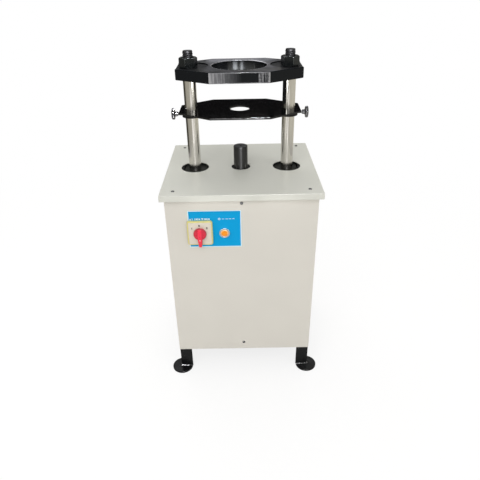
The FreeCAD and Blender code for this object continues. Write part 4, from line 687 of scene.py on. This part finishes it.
class EXTRUDER_OT_columns(Piece, bpy.types.Operator):
    """Chromed columns with threaded studs"""
    bl_idname = "extruder.columns"
    bl_label = "Columns"

    def execute(self, context):
        chrome = hard_chrome("column_hard_chrome")
        dark = black_oxide("stud_black_oxide", "#48484B", 0.4)
        pitch, depth, chamfer = context.scene.extruder_sizes.stud_pitch, 2 * MM, 1 * MM
        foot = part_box("rod_wiper")[0].z
        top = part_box("upper_crosshead")[0].z
        for name in ("column_left", "column_right"):
            low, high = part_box(name)
            middle = (low + high) / 2
            radius = (high.x - low.x) / 2
            stud = radius * 15 / 19  # M30 on a bar of 38 mm
            bar = [(0, foot), (stud, foot), (radius - chamfer, foot)]
            bar += arc(radius - chamfer, foot + chamfer, chamfer, -90, 0, 4)
            bar += arc(radius - chamfer, top - chamfer, chamfer, 0, 90, 4)
            bar += [(stud, top), (0, top)]
            at = Matrix.Translation((middle.x, middle.y, 0))
            make(f"{name}_bar", turned(bar, 96, at=at), "machine", chrome, (name,))
            ends = [threaded(stud, depth, pitch, *span, at) for span in ((low.z, foot), (top, high.z))]
            make(f"{name}_threads", joined(ends), "machine", dark, smooth=25)
        return {"FINISHED"}


class EXTRUDER_OT_crossheads(Piece, bpy.types.Operator):
    """Blackened crossheads and their nuts"""
    bl_idname = "extruder.crossheads"
    bl_label = "Crossheads"

    def execute(self, context):
        edge = context.scene.extruder_sizes.plate_edge
        colours = context.scene.extruder_colours
        plate = blackened_plate("crosshead_black_lacquer", colours.crosshead)
        softened("upper_crosshead", "machine", plate, edge)
        paint(enamel("crosshead_phosphate", colours.anchor, 0.4, 0.08), "lower_crosshead")
        oxide = black_oxide("nut_black_oxide", "#1B1F21", 0.24, 0.4)
        # The corners of the nuts are rubbed bright, and their brightness is also a painted highlight along
        # the edges.
        rubbed = turned_steel("nut_rubbed_edge_highlight", "#A9B0B3", 0.3)
        softened("top_nuts", "machine", oxide, edge * 2.2, 3, rubbed)
        paint(oxide, "bottom_nuts", "crosshead_bolts", "cylinder_bolts")
        return {"FINISHED"}


class EXTRUDER_OT_tray(Piece, bpy.types.Operator):
    """Gloss tray with its collars"""
    bl_idname = "extruder.tray"
    bl_label = "Tray"

    def execute(self, context):
        edge = context.scene.extruder_sizes.plate_edge
        black = context.scene.extruder_colours.tray
        softened("tray", "tray", gloss_plate("tray_stoving_enamel", black), edge)
        softened("collars", "tray", enamel("collar_enamel", black, 0.4), edge)
        return {"FINISHED"}


class EXTRUDER_OT_clamps(Piece, bpy.types.Operator):
    """Chromed star knobs on threaded studs, with brass tips"""
    bl_idname = "extruder.clamps"
    bl_label = "Clamps"

    def execute(self, context):
        sizes = context.scene.extruder_sizes
        chrome = bright_chrome("knob_chrome", "#7E7E82")
        steel = turned_steel("clamp_stud_steel")
        paint(turned_steel("clamp_brass", "#B08D4A", 0.3), "clamp_tip_left", "clamp_tip_right")
        for hand, side in (("left", -1), ("right", 1)):
            at, radius, length = self.seat(f"clamp_stud_{hand}", side)
            stud = threaded(radius, 0.9 * MM, sizes.clamp_pitch, 0, length, at)
            make(f"clamp_stud_{hand}_threaded", stud, f"clamp_screw_{hand}", steel,
                 (f"clamp_stud_{hand}",), 25)
            knob = self.knob(*self.seat(f"clamp_knob_{hand}", side), sizes.knob_lobes)
            piece = make(f"clamp_knob_{hand}_star", knob, f"clamp_screw_{hand}", chrome,
                         (f"clamp_knob_{hand}",), 50)
            modified(piece, "SUBSURF", levels=1, render_levels=1)
        return {"FINISHED"}

    @staticmethod
    def seat(name, side):
        """The place of a turned piece, facing outwards from its inner end, with its radius and length."""
        low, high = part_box(name)
        inner = (high if side < 0 else low).x
        return facing((side, 0, 0), (inner, 0, (low.z + high.z) / 2)), (high.z - low.z) / 2, high.x - low.x

    @staticmethod
    def knob(at, radius, depth, lobes):
        """A lobed grip with a collar, from its collar at 0 outwards."""
        collar, bore, hub = depth * 9 / 19, 4.6 * MM, 10 * MM
        profile = [(bore, 0.2 * MM), (6.2 * MM, 0.2 * MM), (6.8 * MM, 0.9 * MM),
                   (7.4 * MM, collar - 1.2 * MM), (8.2 * MM, collar),
                   (radius * 0.8, collar + 0.3 * MM), (radius * 0.94, collar + 1.2 * MM),
                   (radius, collar + 3 * MM), (radius, depth - 3 * MM), (radius * 0.94, depth - 1.2 * MM),
                   (radius * 0.78, depth - 0.3 * MM), (hub, depth), (bore + 2 * MM, depth),
                   (bore + 0.8 * MM, depth - 0.6 * MM), (bore, depth - 1.4 * MM), (bore, 0.2 * MM)]

        def shape(angle, r, z):
            share = max(0.0, (r - hub) / (radius - hub))
            scallop = max(0.0, math.cos(lobes * angle)) ** 1.4
            return r - share * scallop * radius * 0.3, z
        return turned(profile, 80, shape, at)


class EXTRUDER_OT_ram(Piece, bpy.types.Operator):
    """Ram, piston and cylinder"""
    bl_idname = "extruder.ram"
    bl_label = "Ram and cylinder"

    def execute(self, context):
        low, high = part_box("ram")
        radius = (high.x - low.x) / 2
        edge, chamfer, rows = 2.5 * MM, 1 * MM, 12
        middle = (low + high) / 2
        profile = [(0, low.z), (radius - chamfer, low.z), (radius, low.z + chamfer)]
        profile += [(radius, low.z + (high.z - edge - low.z) * row / rows) for row in range(1, rows)]
        profile += arc(radius - edge, high.z - edge, edge, 0, 90, 5)
        # The hollow of the lathe's centre drill is in the middle of the end face.
        profile += [(radius * 0.5, high.z), (radius * 0.18, high.z), (radius * 0.15, high.z - 0.8 * MM),
                    (0, high.z - 3 * MM)]
        rod = turned(profile, 96, at=Matrix.Translation((middle.x, middle.y, 0)))
        piece = make("ram_rod", rod, "ram", ram_black("ram_nitrided"), ("ram",))
        # The end face is only turned and oiled, so it has no rings from the grinding wheel.
        piece.data.materials.append(black_oxide("ram_end_oxide", "#3A3B3D", 0.34, 0.5).material)
        for face in piece.data.polygons:
            if face.center.z > high.z - edge * 0.6:
                face.material_index = 1
        steel = turned_steel("cylinder_steel", "#55585C", 0.4)
        paint(steel, "cylinder_head", "cylinder_cap", "cylinder_barrel")
        paint(turned_steel("piston_steel"), "piston")
        paint(rubber("wiper_nitrile"), "rod_wiper")
        return {"FINISHED"}


class EXTRUDER_OT_control_plate(Piece, bpy.types.Operator):
    """Blue control plate with plain printed symbols"""
    bl_idname = "extruder.control_plate"
    bl_label = "Control plate"

    def execute(self, context):
        film = printed_film("control_plate_film", context.scene.extruder_colours.plate)
        softened("control_plate", "machine", film, 0.3 * MM)
        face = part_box("control_plate")[0].y
        line = context.scene.extruder_sizes.symbol_line
        front, back = face - 0.12 * MM, face + 0.05 * MM
        bottom, top = 589.5 * MM, 595.5 * MM
        middle, half = (bottom + top) / 2, (top - bottom) / 2
        marks = []

        def bars(width, base, head, *places):
            for place in places:
                marks.append(box_mesh((place * MM, front, base), ((place + width) * MM, back, head)))

        def triangle(centre, foot, tip):
            corners = [(centre - half, foot), (centre + half, foot), (centre, tip)]
            marks.append(skinned([(x, y, z) for x, z in corners] for y in (front, back)))

        def ring(centre, radius):
            rim = [(radius - line, front - back), (radius, front - back), (radius, 0), (radius - line, 0),
                   (radius - line, front - back)]
            marks.append(turned(rim, 32, at=facing((0, -1, 0), (centre, front, middle))))

        # Where the symbols stand in X, in millimetres: over the switch, and then over the lamp.
        triangle(-151 * MM, bottom, top)
        bars(1.6, bottom, top, -145.5, -138, -129.5, -110.5, -102)
        bars(4, bottom + 1 * MM, top - 1 * MM, -134.5, -126, -107, -98)
        triangle(-115.5 * MM, top, bottom)
        ring(-66 * MM, 3.4 * MM)
        bars(6.5, middle - line / 2, middle + line / 2, -58, -48, -38, -28)
        make("control_plate_symbols", joined(marks), "machine", white_ink("symbol_white_ink"))
        return {"FINISHED"}


class EXTRUDER_OT_switch(Piece, bpy.types.Operator):
    """Rotary switch: bezel, dial plate with its marks, and the moulded handle"""
    bl_idname = "extruder.rotary_switch"
    bl_label = "Rotary switch"

    def execute(self, context):
        colours = context.scene.extruder_colours
        softened("switch_bezel", "machine", moulded("bezel_abs", colours.bezel),
                 context.scene.extruder_sizes.moulded_edge, 3)
        dial = brushed_dial("dial_anodised_aluminium", colours.face)
        softened("switch_face", "machine", dial, 0.4 * MM)
        self.numbers()
        self.handle(colours)
        paint(moulded("switch_nylon", "#18181A", 0.45), "switch_body")
        return {"FINISHED"}

    @staticmethod
    def numbers():
        """The position numbers of the dial, as flat printed shapes."""
        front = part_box("switch_face")[0].y - 0.04 * MM
        ink = moulded("dial_ink", "#120E0D", 0.5)
        marks = []
        # Each number with its place in X and Z, in millimetres.
        for text, x, z in (("1", -147.0, 566.0), ("0", -125.4, 574.7), ("2", -103.0, 566.6)):
            curve = bpy.data.curves.new("number", "FONT")
            curve.body = text
            curve.size, curve.offset, curve.extrude = 8 * MM, 0.5 * MM, 0.08 * MM
            curve.align_x = curve.align_y = "CENTER"
            number = in_scene("number", curve)
            flat = bmesh.new()
            flat.from_mesh(number.to_mesh())
            number.to_mesh_clear()
            place = Matrix.Translation((x * MM, front, z * MM))
            flat.transform(place @ Matrix.Rotation(math.pi / 2, 4, "X"))
            marks.append(flat)
            bpy.data.objects.remove(number)
            bpy.data.curves.remove(curve)
        make("dial_numbers", joined(marks), "machine", ink)

    @staticmethod
    def handle(colours):
        """Round knob with a raised spine that runs down into the lever."""
        low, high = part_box("switch_handle")
        dial_front = -214.5 * MM
        pivot_x = (low.x + high.x) / 2
        radius = (high.x - low.x) / 2
        pivot_z = high.z - radius
        back = min(dial_front, high.y)
        height = back - low.y
        tip = pivot_z - low.z
        skirt = height * 0.62
        at = Matrix.Translation((pivot_x, back, pivot_z)) @ Matrix.Rotation(math.pi / 2, 4, "X")
        knob = turned([(0, 0), (radius - 0.6 * MM, 0), (radius, 0.8 * MM), (radius, skirt - 3 * MM),
                       (radius - 0.8 * MM, skirt - 1 * MM), (radius - 2.6 * MM, skirt),
                       (radius * 0.6, skirt + 0.6 * MM), (0, skirt + 0.9 * MM)], 64, at=at)
        # The spine, from above the pivot down to the tip: how high each section stands above the pivot, half
        # its width in millimetres, and its share of the handle's height.
        rings = []
        for up, half, share in (
                (radius * 0.96, 5.2, 0.66), (radius * 0.93, 6.2, 0.86), (radius * 0.6, 7.0, 0.98),
                (0, 7.2, 1.0), (-radius * 0.7, 7.2, 1.0), (-radius, 7.0, 0.99), (-tip * 0.72, 5.8, 0.94),
                (-tip + 3 * MM, 4.9, 0.86), (-tip + 0.8 * MM, 4.2, 0.76), (-tip, 3.0, 0.62)):
            half, crown = half * MM, height * share
            section = [(half, 1 * MM), (half, crown * 0.5), (half * 0.9, crown * 0.86), (half * 0.62, crown)]
            section = [(-across, out) for across, out in section] + section[::-1]
            rings.append([(across, up, out) for across, out in section])
        spine = skinned(rings)
        spine.transform(at)
        red = handle_painted_light("handle_abs", colours.handle, low.y)
        piece = make("switch_handle_moulded", joined([knob, spine]), "switch_handle", red,
                     ("switch_handle",))
        modified(piece, "BEVEL", width=0.7 * MM, segments=3, limit_method="ANGLE",
                 angle_limit=math.radians(35), harden_normals=True)
        profile = [(0, 0), (1.7 * MM, 0), (1.7 * MM, 0.15 * MM), (1.2 * MM, 0.25 * MM), (0, 0.25 * MM)]
        place = (pivot_x, low.y + 0.25 * MM, pivot_z - radius * 0.85)
        dot = turned(profile, 24, at=facing((0, -1, 0), place))
        make("handle_pointer", dot, "switch_handle", moulded("pointer_ink", "#F2EEE8", 0.4))


class EXTRUDER_OT_lamp(Piece, bpy.types.Operator):
    """Pilot lamp with a domed lens in a knurled ring"""
    bl_idname = "extruder.pilot_lamp"
    bl_label = "Pilot lamp"

    def execute(self, context):
        low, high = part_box("lamp_bezel")
        middle = (low + high) / 2
        radius = (high.x - low.x) / 2
        thick = high.y - low.y
        lens_low, lens_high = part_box("lamp_lens")
        lens_radius = (lens_high.x - lens_low.x) / 2
        bore = lens_radius + 0.2 * MM
        profile = [(bore, 0), (radius - 0.3 * MM, 0), (radius, 0.5 * MM), (radius, thick * 0.6),
                   (radius - 0.2 * MM, thick - 0.7 * MM), (radius - 0.7 * MM, thick - 0.2 * MM),
                   (radius - 1.2 * MM, thick), (bore + 0.4 * MM, thick), (bore, thick - 0.4 * MM), (bore, 0)]

        def knurl(angle, r, z):
            cut = 0.28 * MM if z < thick * 0.55 and r > radius - 0.4 * MM else 0.0
            return r - cut * (0.5 + 0.5 * math.cos(40 * angle)), z
        ring = turned(profile, 240, knurl, facing((0, -1, 0), (middle.x, high.y, middle.z)))
        make("lamp_ring", ring, "machine", bright_chrome("lamp_chrome", "#EDEDEF"),
             ("lamp_bezel",), 40)
        rise, crown = lens_high.y - lens_low.y, 4.5 * MM
        dome = [(0, 0), (lens_radius, 0), (lens_radius, rise - crown)]
        dome += [(lens_radius * math.cos(a), rise - crown + crown * math.sin(a))
                 for a in (0.15, 0.35, 0.6, 0.85, 1.1, 1.35)]

        def ribs(angle, r, z):
            cut = 0.18 * MM if z > 0 and r >= lens_radius * 0.3 else 0.0
            return r - cut * (0.5 + 0.5 * math.cos(24 * angle)), z
        lens = turned(dome + [(0, rise)], 96, ribs, facing((0, -1, 0), (middle.x, lens_high.y, middle.z)))
        skin = lens_plastic("lens_polycarbonate", context.scene.extruder_colours.lens)
        make("lamp_lens_dome", lens, "machine", skin, ("lamp_lens",), 50)
        paint(moulded("lamp_socket_nylon", "#1A1A1C", 0.45), "lamp_body")
        return {"FINISHED"}


class EXTRUDER_OT_power_pack(Piece, bpy.types.Operator):
    """Surfaces of the motor, pump, tank, valve, pipes and wiring"""
    bl_idname = "extruder.power_pack"
    bl_label = "Power pack"

    def execute(self, context):
        colours = context.scene.extruder_colours
        paint(enamel("motor_enamel", colours.motor, 0.4), "motor_body", "fan_cover", "terminal_box")
        paint(moulded("fan_nylon", "#1B1B1D", 0.5), "motor_fan")
        paint(turned_steel("shaft_steel"), "motor_shaft")
        paint(cast_metal("pump_aluminium", "#A7A8A8"), "pump_coupling", "bell_housing", "gear_pump")
        paint(enamel("tank_enamel", colours.tank, 0.38), "oil_tank", "tank_lid")
        paint(moulded("breather_nylon", "#161617", 0.5), "tank_breather")
        paint(turned_steel("valve_phosphated_steel", "#4A4B4D", 0.5), "valve_block", "solenoid_valve")
        paint(turned_steel("pipe_zinc_steel", "#B5B6B2", 0.3), "hydraulic_pipes", "pipe_fittings")
        paint(powder_coat("box_powder_coat", "#C9C9C5"), "electrical_box")
        paint(moulded("gland_nylon", "#171718", 0.45), "cable_gland")
        return {"FINISHED"}


class EXTRUDER_OT_stage(Piece, bpy.types.Operator):
    """White floor, soft lights, cards for the metal to mirror, and the camera"""
    bl_idname = "extruder.stage"
    bl_label = "Stage"

    def execute(self, context):
        context.scene.view_settings.view_transform = "Standard"
        self.world(context.scene)
        self.floor()
        self.tent()
        self.lights()
        self.camera(context.scene)
        return {"FINISHED"}

    @staticmethod
    def world(scene):
        """White to the camera and in reflections, softer as a light."""
        scene.world = bpy.data.worlds.new("studio")
        sky = Nodes(scene.world)
        seen = sky.add("LightPath").node.outputs
        white = sky.any_of(seen["Is Camera Ray"], seen["Is Glossy Ray"], seen["Is Transmission Ray"])
        background = sky.tree.nodes["Background"]
        background.inputs["Color"].default_value = linear("#FFFFFF")
        sky.tree.links.new(sky.add("MapRange", white, 0.0, 1.0, 0.8, 1.0), background.inputs["Strength"])

    @staticmethod
    def floor():
        mesh = bmesh.new()
        bmesh.ops.create_grid(mesh, x_segments=2, y_segments=2, size=9)
        floor = as_object("floor", mesh)
        skin = Surface("floor_white", "#F4F3F1", roughness=0.8, ior=1.4).mottle(1500, 1.01, 0.99)
        seen = skin.add("LightPath").node.outputs
        # The share that glows hides the edge of the floor, and the rest keeps the shadow. Mirrors see it
        # as grey as the walls of the tent.
        strength = skin.add("MapRange", seen["Is Glossy Ray"], 0.0, 1.0, 1.0, 0.42)
        glow = skin.add("Emission", "#FFFFFF", strength)
        x, y, _ = skin.axes()
        share = skin.all_of(skin.any_of(seen["Is Camera Ray"], seen["Is Glossy Ray"]),
                            skin.add("MapRange", skin.distance(x, y), 0.5, 2.2, 0.8, 1.0))
        mixed = skin.add("MixShader", share, skin.shader.outputs[0], glow)
        skin.tree.links.new(mixed, skin.tree.nodes["Material Output"].inputs["Surface"])
        floor.data.materials.append(skin.material)

    @classmethod
    def tent(cls):
        """Walls and cards that only mirrors see: grey, bright in front and dark behind."""
        radius, wall_top, roof = 1.9, 1.7, 3.5
        wall = turned([(radius, 0.02), (radius, wall_top), (3.7, roof), (0, roof)], 96)
        wall.faces.remove(max(wall.faces, key=lambda face: len(face.verts)))
        cloth = Surface("tent_cloth")
        x, y, z = cloth.axes()
        # The angle round the object in degrees: 0 in front, and growing to the right.
        forward = cloth.add("Math", y, -1.0, operation="MULTIPLY")
        turn = cloth.add("Math", cloth.add("Math", x, forward, operation="ARCTAN2"), 180 / math.pi,
                         operation="MULTIPLY")
        ahead = cloth.fade(turn, -30.0, 40.0, "#B6B3A7", "#D6D3C6")
        sides = cloth.fade(turn, -60.0, -130.0, ahead, "#615F54")
        back = cloth.any_of(cloth.add("MapRange", turn, 96.0, 118.0),
                            cloth.add("MapRange", turn, -84.0, -112.0))
        walls = cloth.add("Mix", cloth.all_of(back, cloth.within(z, 1.2, 1.42, 0.14)), sides, "#1D1C1D",
                          data_type="RGBA")
        above = cloth.fade(z, 1.52, 1.66, cloth.fade(x, 0.0, 0.6, "#B8B8BA", "#7E7E80"), "#2E2E30")
        cls.card("tent", wall, cloth, cloth.fade(z, 1.46, 1.54, walls, above))
        # Two bright strips in front of the columns, which are darker between them.
        strip = Surface("strip_cloth")
        x, _, z = strip.axes()
        tone = strip.add("Mix", strip.within(x, -0.14, 0.15, 0.04), "#4A4945",
                         strip.fade(z, 0.62, 0.66, "#F0EFED", "#878684"), data_type="RGBA")
        cls.card("strip", cls.boards(-0.28, (-0.18, 0.01, 0.595, 0.896), (0.065, 0.2, 0.595, 0.896)), strip,
                 tone, 4.5)
        # Two short bars under the front of the crosshead, for the wall of its bore.
        cls.card("glints", cls.boards(-0.125, (-0.0475, -0.017, 0.912, 0.942), (0.024, 0.08, 0.912, 0.942)),
                 Surface("glint_cloth"), "#FAFAF7", 8.0)
        # A black card between the columns, above the tray, gives the bars their dark inner side.
        cls.card("inner_card", box_mesh((0.099, -0.043, 0.864), (0.1, 0.25, 0.948)), Surface("black_cloth"),
                 "#1C1D1D")
        # An olive card on the left gives the left column its dark outer edge.
        cls.card("side_card", box_mesh((-0.301, -0.02, 0.66), (-0.3, 0.15, 0.95)), Surface("olive_cloth"),
                 "#4A483F")

    @staticmethod
    def boards(depth, *edges):
        """Upright boards 1 mm thick at a depth in Y, each from its left, right, lower and upper edge."""
        return joined([box_mesh((left, depth - 1 * MM, lower), (right, depth, upper))
                       for left, right, lower, upper in edges])

    @staticmethod
    def card(name, mesh, skin, tone, strength=1.0):
        """A card of the stage that only shows in reflections."""
        skin.tree.nodes.remove(skin.shader)
        skin.tree.links.new(skin.add("Emission", tone, strength),
                            skin.tree.nodes["Material Output"].inputs["Surface"])
        card = as_object(name, mesh)
        card.data.materials.append(skin.material)
        for kind in ("camera", "diffuse", "transmission", "volume_scatter", "shadow"):
            setattr(card, f"visible_{kind}", False)

    @staticmethod
    def lights():
        # Place, target, size in metres and power in watts. The spark lamp lights no surface; it only gives
        # polished edges and the ram a small highlight.
        for name, place, target, size, power in (
                ("key", (-0.9, -2.6, 2.9), (0, 0, 0.6), 2.2, 40),
                ("fill", (1.7, -1.4, 2.4), (0, 0, 0.6), 1.3, 5),
                ("top", (-0.3, 1.5, 2.6), (0, 0, 0.7), 2.4, 26),
                ("spark", (0.28, -2.2, 2.9), (0, 0, 0.7), 0.6, 110)):
            lamp = bpy.data.lights.new(name, "AREA")
            lamp.shape = "SQUARE"
            lamp.size = size
            lamp.energy = power
            light = in_scene(name, lamp)
            light.matrix_world = facing(Vector(place) - Vector(target), place)
            light.visible_diffuse = name != "spark"

    @staticmethod
    def camera(scene):
        # The angles of the view in radians: down, to the right, and tilted.
        pitch, yaw, roll = 0.532, -0.004, 0.0197
        place = Matrix.Translation((-0.00182, -1.40694, 1.22677))
        lens = bpy.data.cameras.new("camera")
        lens.sensor_width = 36
        lens.lens = 34.92
        turn = Matrix.Rotation(-yaw, 4, "Z") @ Matrix.Rotation(math.pi / 2 - pitch, 4, "X")
        turn @= Matrix.Rotation(-roll, 4, "Z")
        scene.camera = in_scene("camera", lens)
        scene.camera.matrix_world = place @ turn


PIECES = (EXTRUDER_OT_cabinet, EXTRUDER_OT_cover_screws, EXTRUDER_OT_frame, EXTRUDER_OT_columns,
          EXTRUDER_OT_crossheads, EXTRUDER_OT_tray, EXTRUDER_OT_clamps, EXTRUDER_OT_ram,
          EXTRUDER_OT_control_plate, EXTRUDER_OT_switch, EXTRUDER_OT_lamp, EXTRUDER_OT_power_pack,
          EXTRUDER_OT_stage)


class EXTRUDER_PT_pieces(bpy.types.Panel):
    """The sizes, the colours and the pieces, in the sidebar"""
    bl_label = "Sample Extruder"
    bl_space_type = "VIEW_3D"
    bl_region_type = "UI"
    bl_category = "Extruder"

    def draw(self, context):
        for group in (context.scene.extruder_sizes, context.scene.extruder_colours):
            column = self.layout.column(align=True)
            for name in group.__annotations__:
                column.prop(group, name)
        column = self.layout.column(align=True)
        for piece in PIECES:
            column.operator(piece.bl_idname)


CLASSES = (ExtruderSizes, ExtruderColours, *PIECES, EXTRUDER_PT_pieces)


def register():
    for each in CLASSES:
        bpy.utils.register_class(each)
    bpy.types.Scene.extruder_sizes = bpy.props.PointerProperty(type=ExtruderSizes)
    bpy.types.Scene.extruder_colours = bpy.props.PointerProperty(type=ExtruderColours)


def unregister():
    del bpy.types.Scene.extruder_colours
    del bpy.types.Scene.extruder_sizes
    for each in reversed(CLASSES):
        bpy.utils.unregister_class(each)


def main():
    register()
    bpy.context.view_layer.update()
    for piece in PIECES:
        group, name = piece.bl_idname.split(".")
        getattr(getattr(bpy.ops, group), name)()


if __name__ == "__main__":
    main()
